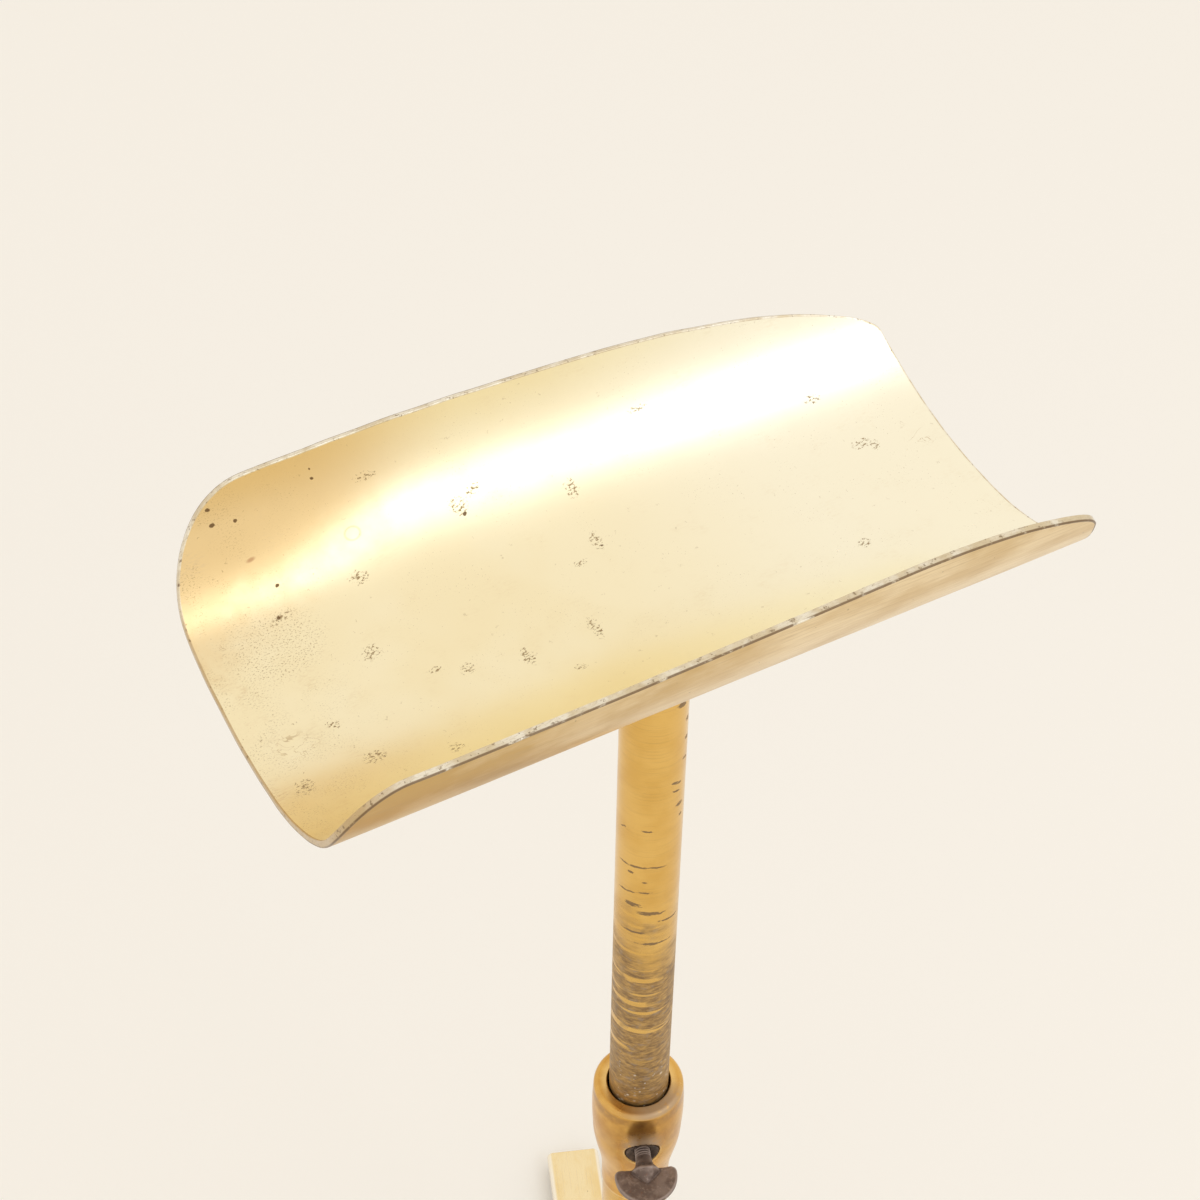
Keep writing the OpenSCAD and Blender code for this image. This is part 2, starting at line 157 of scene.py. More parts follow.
class Graph:
    """One material's node tree, built with short calls. A value is a number, a tuple
    or another node's output."""

    def __init__(self, name):
        self.material = bpy.data.materials.new(name)
        self.material.use_nodes = True
        self.tree = self.material.node_tree
        self.shader = self.tree.nodes["Principled BSDF"]

    def put(self, socket, value):
        if isinstance(value, bpy.types.NodeSocket):
            self.tree.links.new(value, socket)
        elif isinstance(value, (tuple, list)) and socket.type == "RGBA" and len(value) == 3:
            socket.default_value = (*value, 1)
        else:
            socket.default_value = value

    def node(self, kind, values, **settings):
        made = self.tree.nodes.new("ShaderNode" + kind)
        for key, value in settings.items():
            setattr(made, key, value)
        for key, value in values.items():
            self.put(made.inputs[key], value)
        return made

    def attribute(self, name, output="Vector"):
        return self.node("Attribute", {}, attribute_name=name).outputs[output]

    def place(self, scale=(1, 1, 1)):
        """The piece's own coordinates in millimetres, stretched by scale."""
        own = self.node("TexCoord", {}).outputs["Object"]
        return self.stretch(own, tuple(s / MM for s in scale))

    def stretch(self, vector, scale):
        return self.node("Mapping", {"Vector": vector, "Scale": scale}).outputs["Vector"]

    def split(self, vector):
        return self.node("SeparateXYZ", {"Vector": vector}).outputs

    def math(self, operation, a, b=0.0, clamp=False):
        return self.node("Math", {0: a, 1: b}, operation=operation,
                         use_clamp=clamp).outputs[0]

    def product(self, *values):
        total = values[0]
        for value in values[1:]:
            total = self.math("MULTIPLY", total, value)
        return total

    def add(self, a, b, clamp=False):
        return self.math("ADD", a, b, clamp)

    def less(self, a, b):
        return self.math("SUBTRACT", a, b)

    def most(self, *values):
        top = values[0]
        for value in values[1:]:
            top = self.math("MAXIMUM", top, value)
        return top

    def band(self, value, low, high, start=0.0, end=1.0):
        """A smooth ramp from start at low to end at high, level outside them."""
        return self.node("MapRange", {"Value": value, "From Min": low, "From Max": high,
                                      "To Min": start, "To Max": end},
                         interpolation_type="SMOOTHSTEP").outputs["Result"]

    def noise(self, vector, scale, detail=2.0, roughness=0.5, distortion=0.0):
        return self.node("TexNoise", {"Vector": vector, "Scale": scale, "Detail": detail,
                                      "Roughness": roughness,
                                      "Distortion": distortion}).outputs["Fac"]

    def grain(self, vector, stretch, *settings):
        """Noise drawn out along the axes that stretch makes small."""
        return self.noise(self.stretch(vector, stretch), *settings)

    def cells(self, vector, scale):
        """Scattered points: the distance to the nearest, and its random colour."""
        made = self.node("TexVoronoi", {"Vector": vector, "Scale": scale})
        return made.outputs["Distance"], made.outputs["Color"]

    def blend(self, factor, a, b):
        made = self.tree.nodes.new("ShaderNodeMix")
        made.data_type = "RGBA"
        self.put(made.inputs["Factor"], factor)
        self.put(made.inputs["A"], a)
        self.put(made.inputs["B"], b)
        return made.outputs["Result"]

    def stain(self, colour, tint, *shares):
        """The colour, turned to the tint as far as the shares' product says."""
        return self.blend(self.product(*shares), colour, tint)

    def bump(self, height, depth_mm, strength):
        made = self.node("Bump", {"Height": height, "Distance": depth_mm * MM,
                                  "Strength": strength})
        self.put(self.shader.inputs["Normal"], made.outputs["Normal"])

    def metal(self, colour, roughness):
        return self.surface(Base_Color=colour, Metallic=1.0, Roughness=roughness)

    def surface(self, **values):
        for key, value in values.items():
            self.put(self.shader.inputs[key.replace("_", " ")], value)
        return self.material


# ---- Mesh building -------------------------------------------------------

def make_piece(name, mesh, materials, body, slot, *nodes):
    """Puts a mesh in the scene as a piece of the object that stands for those nodes."""
    for material in materials:
        mesh.materials.append(material)
    piece = bpy.data.objects.new(name, mesh)
    bpy.context.scene.collection.objects.link(piece)
    for face in mesh.polygons:
        face.use_smooth = True
    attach(piece, body)
    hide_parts(*nodes)
    return piece


def tidy_mesh(name, points, faces):
    """A mesh from points and faces, with every face turned outwards."""
    mesh = bpy.data.meshes.new(name)
    mesh.from_pydata(points, [], faces)
    work = bmesh.new()
    work.from_mesh(mesh)
    bmesh.ops.recalc_face_normals(work, faces=work.faces)
    work.to_mesh(mesh)
    work.free()
    return mesh


def mark_curvature(mesh, rounds=3):
    """Stores how sharply the mesh turns at each vertex: 1/mm, above 0 where it bulges."""
    count = len(mesh.vertices)
    places = [v.co / MM for v in mesh.vertices]
    normals = [v.normal.copy() for v in mesh.vertices]
    total, links = [0.0] * count, [0] * count
    pairs = [tuple(edge.vertices) for edge in mesh.edges]
    for a, b in pairs:
        gap = places[a] - places[b]
        reach = max(gap.length_squared, 1e-6)
        total[a] += 2 * gap.dot(normals[a]) / reach
        total[b] -= 2 * gap.dot(normals[b]) / reach
        links[a] += 1
        links[b] += 1
    value = [t / max(k, 1) for t, k in zip(total, links)]
    for _ in range(rounds):
        spread = value[:]
        for a, b in pairs:
            spread[a] += value[b]
            spread[b] += value[a]
        value = [t / (k + 1) for t, k in zip(spread, links)]
    layer = mesh.attributes.new("curved", "FLOAT", "POINT")
    layer.data.foreach_set("value", value)


def store(mesh, name, places):
    """Stores a place in millimetres for each vertex, which the material reads."""
    layer = mesh.attributes.new(name, "FLOAT_VECTOR", "POINT")
    for k, place in enumerate(places):
        layer.data[k].vector = place


def turns(count):
    """Even angles once round a circle."""
    return [2 * math.pi * i / count for i in range(count)]


def band_faces(rings, count):
    """Quads between successive closed rings of count points."""
    return [(k * count + i, k * count + (i + 1) % count, (k + 1) * count + (i + 1) % count,
             (k + 1) * count + i) for k in range(rings - 1) for i in range(count)]


def skin(name, rings):
    """A closed skin over rings of points, with a fan at each end."""
    count = len(rings[0])
    points = [p for ring in rings for p in ring]
    faces = band_faces(len(rings), count)
    for first, ring in ((0, rings[0]), ((len(rings) - 1) * count, rings[-1])):
        middle = len(points)
        points.append(sum((Vector(p) for p in ring), Vector()) / count)
        faces += [(first + i, first + (i + 1) % count, middle) for i in range(count)]
    return tidy_mesh(name, points, faces)


def lathe(name, profile, columns=96, wobble=None):
    """Turns a profile of (radius, height) points about Z, joined into a closed loop
    when it doesn't reach the axis. wobble(angle, r, z) gives a new radius."""
    rings = []
    for radius, height in profile:
        ring = []
        for angle in turns(columns):
            r = wobble(angle, radius, height) if wobble else radius
            ring.append((r * math.cos(angle), r * math.sin(angle), height))
        rings.append(ring)
    if profile[0] == profile[-1]:
        rings.pop()
        points = [p for ring in rings for p in ring]
        faces = band_faces(len(rings), columns)
        last = (len(rings) - 1) * columns
        faces += [(last + i, last + (i + 1) % columns, (i + 1) % columns, i)
                  for i in range(columns)]
        return tidy_mesh(name, points, faces)
    return skin(name, rings)


def arc(centre, radius, start, end, steps):
    """Points on an arc in a plane, with angles in degrees."""
    points = []
    for i in range(steps + 1):
        turn = math.radians(start + (end - start) * i / steps)
        points.append((centre[0] + radius * math.cos(turn),
                       centre[1] + radius * math.sin(turn)))
    return points


def settled(piece):
    """Applies a piece's modifiers to its mesh."""
    graph = bpy.context.evaluated_depsgraph_get()
    done = bpy.data.meshes.new_from_object(piece.evaluated_get(graph))
    piece.modifiers.clear()
    piece.data = done


def mix(a, b, t):
    return a + (b - a) * t


def ease(t):
    return (1 - math.cos(math.pi * min(max(t, 0.0), 1.0))) / 2


# ---- Marks and finishes shared by the materials --------------------------

def patch(g, flat, x, s, length, width, turn=0):
    """1 in the middle of an oval patch of a flat coordinate in millimetres, 0 past it."""
    near = g.node("Mapping", {"Vector": flat, "Location": (x, s, 0),
                              "Rotation": (0, 0, math.radians(turn)),
                              "Scale": (length / 2, width / 2, 1000)},
                  vector_type="TEXTURE").outputs["Vector"]
    out = g.node("VectorMath", {0: near}, operation="LENGTH").outputs["Value"]
    return g.band(out, 1, 0.25)


def patches(g, flat, places):
    """The highest of many patches, each one met before the next is made."""
    total = patch(g, flat, *places[0])
    for place in places[1:]:
        total = g.most(total, patch(g, flat, *place))
    return total


def frayed(g, flat, reach):
    """The flat coordinate shaken a little, which gives patches a ragged outline."""
    shake = g.node("TexNoise", {"Vector": flat, "Scale": 0.9, "Detail": 3.0}).outputs["Color"]
    centred = g.node("VectorMath", {0: shake, 1: (0.5, 0.5, 0.5)},
                     operation="SUBTRACT").outputs["Vector"]
    scaled = g.node("VectorMath", {0: centred, "Scale": reach},
                    operation="SCALE").outputs["Vector"]
    return g.node("VectorMath", {0: flat, 1: scaled}, operation="ADD").outputs["Vector"]


def specks(g, vector, spacing, share, radius, soft=0.3):
    """Round specks of up to that radius, in a share of the cells of that spacing."""
    near, shade = g.cells(vector, 1 / spacing)
    pick = g.split(shade)["X"]
    size = g.node("MapRange", {"Value": pick, "From Min": 1 - share, "From Max": 1,
                               "To Min": -0.02, "To Max": radius / spacing}).outputs["Result"]
    return g.band(g.less(size, near), 0, soft * radius / spacing)


def lines(g, vector, scale, stretch, thin):
    """Fine broken scratches across the stretched axes."""
    cut = g.grain(vector, stretch, scale, 3.0, 0.6)
    return g.band(cut, thin, thin + 0.05)


def round_post(g, own):
    """A vector of millimetres round the post from +X, and height in millimetres."""
    x, y, z = g.split(own)
    turn = g.math("ARCTAN2", y, x)
    around = g.math("MULTIPLY", turn, TUBE_R / MM)
    return g.node("CombineXYZ", {"X": around, "Y": z}).outputs["Vector"], z


# ---- Gilt sheet ----------------------------------------------------------

# Listed wear on the inside of the trough: x along, s across, length, width, turn
GILT_PITS = [(-109, 78, 2.0, 1.5), (-109, 73, 2.3, 1.6), (-102, 72, 1.9, 1.5),
             (-99, 40, 1.8, 1.4), (-96, 49, 1.7, 1.3), (-76, 76, 1.6, 1.3),
             (-76, 79, 1.0, 1.0), (-34, 50, 2.2, 1.6, 30), (2, 26, 1.2, 1.0)]
GILT_CLUSTERS = [(-72, 43, 8, 5), (-98, 40, 12, 3, 12), (-35, 53, 7, 8, 35),
                 (-29, 56, 8, 3, 25), (1, 46, 6, 8), (1, 28, 5, 8), (-7, 23, 6, 3),
                 (-14, 0, 4, 13), (-37, -1, 5, 9), (-26, -13, 5, 4), (-64, 7, 6, 3),
                 (-55, 3, 6, 5), (-78, 20, 8, 6), (-99, 2, 5, 6), (-116, -17, 8, 9),
                 (-94, -16, 9, 7), (-73, -27, 6, 6), (87, 46, 7, 4), (96, 27, 8, 4),
                 (100, 25, 5, 4), (76, -8, 6, 5), (30, 62, 9, 3), (-60, 71, 10, 3)]
GILT_STAINS = [(-112, 22, 12, 9, 30), (-112, 0, 22, 14, -30), (115, 23, 16, 9, -40),
               (-119, 36, 14, 10)]


def gilt_inside():
    g = Graph("gilt_inside")
    flat = g.attribute("sheet_mm")
    x, s, _ = g.split(flat)
    left_end = g.band(x, -70, -122)
    broad = g.noise(flat, 0.018, 3.0, 0.55)
    cloud = g.noise(flat, 0.07, 4.0, 0.62)
    fine = g.grain(flat, (0.5, 1.4, 1), 0.9, 4.0, 0.7)

    gilt = g.blend(g.band(broad, 0.38, 0.64), (0.962, 0.885, 0.650), (0.945, 0.850, 0.590))
    # Painted sheen: the gilt is turned near white towards the end at +x.
    painted_sheen_end = g.band(g.add(x, g.product(broad, 60)), 10, 110)
    gilt = g.stain(gilt, (0.992, 0.962, 0.815), painted_sheen_end, 0.9)
    # Painted shade: the back-left corner of the inside is darkened to a deeper gold.
    corner = g.less(g.add(g.product(s, 1.1), g.product(cloud, 24)), g.product(x, 0.42))
    painted_corner_shade = g.product(g.band(corner, 86, 118), g.band(x, -20, -80))
    gilt = g.stain(gilt, (0.81, 0.61, 0.32), painted_corner_shade, 0.95)
    tan = g.product(g.band(cloud, 0.50, 0.72), g.band(fine, 0.42, 0.62),
                    g.add(g.product(left_end, 0.34), 0.13))
    gilt = g.stain(gilt, (0.70, 0.54, 0.33), tan)

    ragged = frayed(g, flat, 3.4)
    dust = g.most(specks(g, ragged, 1.9, 0.30, 0.40), specks(g, ragged, 4.7, 0.34, 0.60))
    dust = g.product(dust, g.add(g.product(left_end, 0.36), 0.24))
    crowd = patches(g, ragged, GILT_CLUSTERS)
    grains = g.grain(flat, (0.8, 1.3, 1), 1.1, 3.0, 0.65)
    torn = g.grain(flat, (0.8, 1.4, 1), 0.42, 3.0, 0.6, 0.6)
    torn = g.band(g.math("ABSOLUTE", g.less(torn, 0.5)), 0.028, 0.012)
    bites = g.product(g.most(g.band(g.add(grains, g.product(crowd, 0.12)), 0.655, 0.69),
                             g.product(torn, g.band(grains, 0.44, 0.52))),
                      g.band(crowd, 0.02, 0.3))
    soiled = patch(g, ragged, -103, 32, 44, 30, 10)
    sanded = g.grain(flat, (1, 1.5, 1), 1.6, 3.0, 0.7)
    rough = g.product(g.band(sanded, 0.55, 0.64),
                      g.most(g.product(left_end, 0.7,
                                       g.band(g.noise(flat, 0.11, 3.0), 0.42, 0.60)),
                             g.band(soiled, 0, 0.8)))
    sprinkle = g.product(g.band(g.noise(flat, 1.9, 2.0, 0.7), 0.66, 0.71),
                         g.band(g.noise(flat, 0.05, 3.0), 0.46, 0.60), 0.6)
    worn = g.most(dust, g.product(bites, 0.9), g.product(rough, 0.75), sprinkle)

    wave = g.grain(flat, (0.9, 1.3, 1), 0.16, 3.0, 0.55, 0.8)
    edge = g.band(g.math("ABSOLUTE", g.less(wave, 0.5)), 0.016, 0.004)
    stain = g.product(edge, patches(g, flat, GILT_STAINS), 0.55)
    ring_at = patch(g, flat, -69, 56, 6.6, 5.4)
    ring = g.product(g.band(ring_at, 0.02, 0.22), g.band(ring_at, 0.62, 0.34), 0.40)
    red = g.product(patch(g, flat, -101, 59, 4.2, 1.8, 10), 0.65)
    pits = g.band(patches(g, frayed(g, flat, 0.9), GILT_PITS), 0.1, 0.5)

    colour = g.blend(worn, gilt, (0.32, 0.22, 0.11))
    colour = g.stain(colour, (0.48, 0.34, 0.18), g.most(stain, ring))
    colour = g.stain(colour, (0.42, 0.20, 0.10), red)
    colour = g.stain(colour, (0.16, 0.09, 0.04), pits, 0.9)

    scratch = lines(g, flat, 0.6, (0.10, 2.2, 1), 0.66)
    dull = g.add(g.product(cloud, 0.16), g.product(g.most(worn, pits, stain), 0.22))
    g.bump(g.less(g.product(fine, 0.35), g.product(scratch, 0.12)), 0.035, 0.5)
    return g.metal(colour, g.add(dull, 0.225))


def gilt_outside():
    """The outside was never polished: brushed along its length, with tan patina in patches and
    painted shade that darkens it towards its left end.
    """
    g = Graph("gilt_outside")
    flat = g.attribute("sheet_mm")
    x = g.split(flat)["X"]
    cloud = g.grain(flat, (0.5, 1, 1), 0.06, 4.0, 0.6)
    brushed = g.grain(flat, (0.05, 1.9, 1), 1.0, 4.0, 0.7)
    # Patina in patches, plus painted shade that grows towards the left end.
    patina_and_left_shade = g.add(g.product(g.band(cloud, 0.36, 0.66), 0.6),
                 g.product(g.band(x, 30, -120), 0.7), clamp=True)
    colour = g.blend(patina_and_left_shade, (0.88, 0.715, 0.455), (0.60, 0.39, 0.13))
    streak = g.band(brushed, 0.45, 0.68)
    colour = g.stain(colour, (0.55, 0.39, 0.20), streak, 0.45)
    pits = g.most(g.product(specks(g, flat, 3.1, 0.35, 0.45), 0.55),
                  g.product(specks(g, flat, 8.3, 0.3, 0.9), 0.8))
    colour = g.stain(colour, (0.20, 0.13, 0.07), pits)
    g.bump(g.less(g.product(brushed, 0.6), pits), 0.04, 0.6)
    return g.metal(colour, g.add(g.product(brushed, 0.2), 0.22))


def gilt_edge():
    """The cut edge: bright filed metal, with a brown line along its outer arris."""
    g = Graph("gilt_edge")
    flat = g.attribute("sheet_mm")
    x, s, depth = g.split(flat)
    filed = g.grain(flat, (0.7, 0.7, 2.5), 0.9, 4.0, 0.7)
    cloud = g.noise(flat, 0.11, 3.0, 0.6)
    colour = g.blend(g.band(cloud, 0.36, 0.62), (0.90, 0.86, 0.75), (0.72, 0.62, 0.44))
    colour = g.stain(colour, (0.52, 0.43, 0.31), g.band(filed, 0.46, 0.66), 0.45)
    old_end = g.product(g.band(x, -104, -121), g.band(s, 62, 44))
    colour = g.stain(colour, (0.56, 0.40, 0.20), old_end, 0.8)
    line = g.product(g.band(depth, 1.55, 1.95),
                     g.band(g.noise(flat, 0.2, 4.0, 0.65), 0.32, 0.46))
    grime = g.product(g.band(g.noise(flat, 0.55, 3.0, 0.7), 0.57, 0.68), 0.75)
    colour = g.stain(colour, (0.20, 0.125, 0.065), g.most(g.product(line, 0.9), grime))
    nicks = specks(g, g.stretch(flat, (1, 1, 0.5)), 6.5, 0.3, 1.0)
    colour = g.stain(colour, (0.17, 0.10, 0.06), nicks, 0.8)
    g.bump(g.less(g.product(filed, 0.5), nicks), 0.05, 0.6)
    return g.metal(colour, g.add(g.product(filed, 0.15), 0.22))


# ---- Tubes ---------------------------------------------------------------

# Listed scratches on the sliding tube: round from +X, height, length, width, turn
TUBE_SCRATCHES = [(-24, 510, 6, 1.6), (-28, 490.5, 17, 1.7, 6), (-20, 491, 10, 1.3, -5),
                  (-29, 487, 4, 2), (-24, 483, 3, 2), (-31, 476, 12, 1.4, 12),
                  (-24, 477.5, 8, 1.3, 2), (-28, 470, 9, 3.6), (-22, 466, 15, 3.2, -5),
                  (-14, 460, 16, 1.6, -14), (-27, 455, 14, 1.8, 4), (-20, 449, 18, 2.0, -3),
                  (-13, 568, 8, 3.5, -30), (-9, 558, 5, 3, -20), (-9, 549, 5, 2.6, -25),
                  (-10, 540, 5, 2, -25), (-14, 531, 8, 1.8, -28), (-14, 527, 6, 1.4, -25),
                  (-12, 519, 6, 2.8, -12), (-11, 513, 3, 2), (-33, 508, 5, 1.2, 35)]


def brass_scratched(name, bright, deep, spread):
    """Lacquered brass, spun bright, with worn patches and fine rings."""
    g = Graph(name)
    own = g.place()
    cloud = g.noise(own, 0.05, 3.0, 0.55)
    rings = g.grain(own, (0.05, 0.05, 3.2), 1.0, 3.0, 0.6)
    colour = g.blend(g.band(cloud, 0.36, 0.66), bright, deep)
    colour = g.stain(colour, (0.42, 0.26, 0.10), g.band(rings, 0.52, 0.72), spread)
    spots = g.product(specks(g, own, 4.4, 0.28, 0.42), 0.5)
    colour = g.stain(colour, (0.22, 0.13, 0.06), spots)
    g.bump(g.less(rings, spots), 0.015, 0.5)
    return g, own, colour, g.add(g.product(cloud, 0.16), 0.13)


def sliding_brass():
    g, own, colour, rough = brass_scratched("sliding_brass", (0.79, 0.50, 0.145),
                                            (0.71, 0.425, 0.105), 0.28)
    flat, z = round_post(g, own)
    collar_mm = COLLAR_HIGH.z / MM
    ragged = g.grain(own, (0.5, 0.5, 1), 0.12, 3.0, 0.6)
    height = g.add(z, g.product(g.less(ragged, 0.5), 90))
    low = g.band(height, collar_mm + 122, collar_mm + 70)
    lowest = g.band(z, collar_mm + 40, collar_mm + 8)

    tilt = g.node("Mapping", {"Vector": own, "Rotation": (0.10, -0.07, 0),
                              "Scale": (0.07, 0.07, 1.0)}).outputs["Vector"]
    grooves = g.noise(tilt, 0.34, 3.0, 0.55)
    above = g.band(z, collar_mm + 22, collar_mm + 36)
    hoops = g.product(g.band(grooves, 0.55, 0.60), g.band(g.noise(own, 0.10, 2.0), 0.38, 0.52),
                      above)
    blotch = g.grain(own, (0.6, 0.6, 1.6), 0.45, 5.0, 0.7)
    tarnish = g.blend(g.band(blotch, 0.30, 0.66), (0.21, 0.125, 0.055), (0.47, 0.29, 0.10))
    grey = g.band(g.grain(own, (0.8, 0.8, 1.3), 0.25, 4.0, 0.65), 0.50, 0.68)
    tarnish = g.stain(tarnish, (0.33, 0.26, 0.20), grey, 0.6)
    veil = g.product(low, g.less(1.0, g.product(hoops, 0.9)),
                     g.band(blotch, 0.68, 0.50, 0.78, 1.0))
    colour = g.stain(colour, tarnish, veil)

    ticks = patches(g, flat, TUBE_SCRATCHES)
    grain = g.grain(flat, (0.35, 1.5, 1), 0.9, 3.0, 0.7)
    cuts = g.product(g.band(g.add(grain, g.product(ticks, 0.26)), 0.60, 0.68),
                     g.band(ticks, 0.05, 0.30))
    strays = g.product(lines(g, tilt, 2.2, (4, 4, 1.1), 0.70), 0.5)
    colour = g.stain(colour, (0.20, 0.135, 0.085), g.most(g.product(cuts, 0.82), strays))
    pale = g.product(g.most(specks(g, own, 3.1, 0.5, 1.15, 0.7),
                            specks(g, own, 1.7, 0.35, 0.6)), lowest, 0.7)
    colour = g.stain(colour, (0.80, 0.77, 0.70), pale)

    metal = g.less(1.0, g.most(g.product(veil, 0.35), g.product(pale, 0.8)))
    rough = g.add(rough, g.most(g.product(veil, 0.26), g.product(cuts, 0.3)))
    return g.surface(Base_Color=colour, Metallic=metal, Roughness=rough)


def fixed_brass():
    g, own, colour, rough = brass_scratched("fixed_brass", (0.78, 0.50, 0.15),
                                            (0.69, 0.41, 0.105), 0.3)
    z = g.split(own)["Z"]
    hub_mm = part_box("hub")[1].z / MM
    height = g.add(z, g.product(g.noise(own, 0.1, 3.0), 40))
    drab = g.product(g.band(height, hub_mm + 62, hub_mm + 18), 0.6)
    colour = g.stain(colour, (0.45, 0.30, 0.15), drab)
    return g.metal(colour, g.add(rough, g.product(drab, 0.2)))


# ---- Castings and turned brass -------------------------------------------

def cast_base(name):
    """Orange-gold casting, polished by hand, with painted shade in its hollows and a painted
    highlight on its bulges.
    """
    g = Graph(name)
    own = g.place()
    cloud = g.noise(own, 0.09, 4.0, 0.6)
    skin_grain = g.noise(own, 1.3, 4.0, 0.65)
    colour = g.blend(g.band(cloud, 0.36, 0.66), (0.725, 0.415, 0.095), (0.59, 0.30, 0.058))
    holes = g.product(specks(g, own, 2.7, 0.3, 0.4), 0.5)
    colour = g.stain(colour, (0.24, 0.14, 0.07), holes)
    curved = g.attribute("curved", "Fac")
    # Painted shade darkens the hollows and a painted highlight lightens the bulges, from the
    # stored curvature.
    hollow_shade = g.product(g.band(curved, -0.08, -0.40), g.band(cloud, 0.3, 0.6, 0.4, 1))
    bright = g.band(curved, 0.14, 0.40)
    colour = g.stain(colour, (0.26, 0.16, 0.08), hollow_shade, 0.75)
    colour = g.stain(colour, (0.93, 0.70, 0.33), bright, 0.5)
    height = g.less(g.product(skin_grain, 0.6), holes)
    rough = g.add(g.product(cloud, 0.18), g.product(hollow_shade, 0.25))
    return g, own, colour, height, g.add(rough, 0.15)


def cast_brass():
    g, _, colour, height, rough = cast_base("cast_brass")
    g.bump(height, 0.03, 0.6)
    return g.metal(colour, rough)


def collar_brass():
    g, own, colour, height, rough = cast_base("collar_brass")
    flat, z = round_post(g, own)
    seat = SCREW_AZIMUTH * TUBE_R / MM
    seat_z = SCREW_AT.z / MM
    top = COLLAR_HIGH.z / MM
    mottled = g.noise(own, 0.35, 4.0, 0.65)
    halo = g.product(patch(g, flat, seat, seat_z + 5, 13, 25), g.band(mottled, 0.28, 0.50))
    # Painted shade in the screw seat's pit.
    seat_shade = g.band(patch(g, flat, seat, seat_z, 9.6, 14.4), 0.0, 0.12)
    # Painted shade: a dark brown band just under the rim.
    shade_under_rim = g.product(g.band(z, top - 1.6, top - 3.4), g.band(z, top - 9, top - 4.5),
                          g.band(mottled, 0.30, 0.56, 0.35, 1))
    colour = g.stain(colour, (0.36, 0.19, 0.065), shade_under_rim, 0.7)
    # Painted dark reflection: the collar's front, round and above the screw seat, is turned
    # deep brown.
    brown = g.product(patch(g, flat, seat, seat_z + 6, 30, 44),
                      g.band(mottled, 0.34, 0.60, 0.5, 1))
    colour = g.stain(colour, (0.40, 0.205, 0.05), brown, 0.75)
    rim_front = g.product(g.band(z, top - 2.4, top - 0.7),
                          patch(g, flat, seat + 5, top, 26, 20), g.band(mottled, 0.26, 0.46))
    # Painted shade at the mouth, where the collar meets the sliding tube.
    x, y, _ = g.split(own)
    out = g.math("SQRT", g.add(g.product(x, x), g.product(y, y)))
    mouth = g.band(out, TUBE_R / MM + 1.2, TUBE_R / MM + 0.6)
    colour = g.stain(colour, (0.47, 0.36, 0.26),
                     g.most(g.product(halo, 0.8), g.product(rim_front, 0.75)))
    # The painted shade of the seat's pit and of the mouth.
    colour = g.stain(colour, (0.13, 0.085, 0.055), g.most(seat_shade, g.product(mouth, 0.8)))
    dull = g.most(halo, seat_shade, rim_front)
    g.bump(g.add(height, g.product(dull, g.product(mottled, 0.8))), 0.04, 0.6)
    return g.surface(Base_Color=colour, Metallic=g.less(1.0, g.product(dull, 0.4)),
                     Roughness=g.add(rough, g.product(dull, 0.22)))


def leg_brass():
    g = Graph("leg_brass")
    bar = g.attribute("leg_mm")
    _, across, up = g.split(bar)
    cloud = g.grain(bar, (0.6, 1, 1), 0.07, 4.0, 0.6)
    drawn = g.grain(bar, (0.04, 1.6, 1.6), 1.0, 4.0, 0.7)
    colour = g.blend(g.band(cloud, 0.36, 0.66), (0.93, 0.79, 0.50), (0.88, 0.69, 0.36))
    colour = g.stain(colour, (0.62, 0.42, 0.18), g.band(drawn, 0.5, 0.7), 0.16)
    # Painted highlight: the rounded long edges are painted near white.
    edge_highlight = g.product(g.band(g.math("ABSOLUTE", across), 10.6, 12.0),
                       g.band(cloud, 0.28, 0.5, 0.5, 1))
    colour = g.stain(colour, (0.97, 0.94, 0.86), edge_highlight, 0.85)
    spots = g.most(specks(g, bar, 3.4, 0.3, 0.5), specks(g, bar, 9.0, 0.3, 1.0))
    spots = g.product(spots, 0.55)
    colour = g.stain(colour, (0.27, 0.17, 0.08), spots)
    # Painted shade: the underside of the bar is darkened brown.
    foot = g.product(g.band(up, -3.6, -5.0), 0.6)
    colour = g.stain(colour, (0.38, 0.26, 0.13), foot)
    g.bump(g.less(g.product(drawn, 0.5), spots), 0.03, 0.6)
    return g.metal(colour, g.add(g.product(drawn, 0.22), 0.14))


def bush_brass():
    """Turned and left as the tool left it: fine rings and a dull yellow skin."""
    g = Graph("bush_brass")
    own = g.place()
    rings = g.grain(own, (0.2, 0.2, 5), 1.0, 2.0, 0.5)
    cloud = g.noise(own, 0.15, 3.0, 0.6)
    colour = g.blend(g.band(cloud, 0.38, 0.64), (0.74, 0.55, 0.25), (0.60, 0.42, 0.17))
    colour = g.stain(colour, (0.42, 0.29, 0.12), g.band(rings, 0.5, 0.7), 0.4)
    g.bump(rings, 0.03, 0.7)
    return g.metal(colour, g.add(g.product(cloud, 0.2), 0.24))


# ---- Iron, steel, leather, cork and wood ---------------------------------

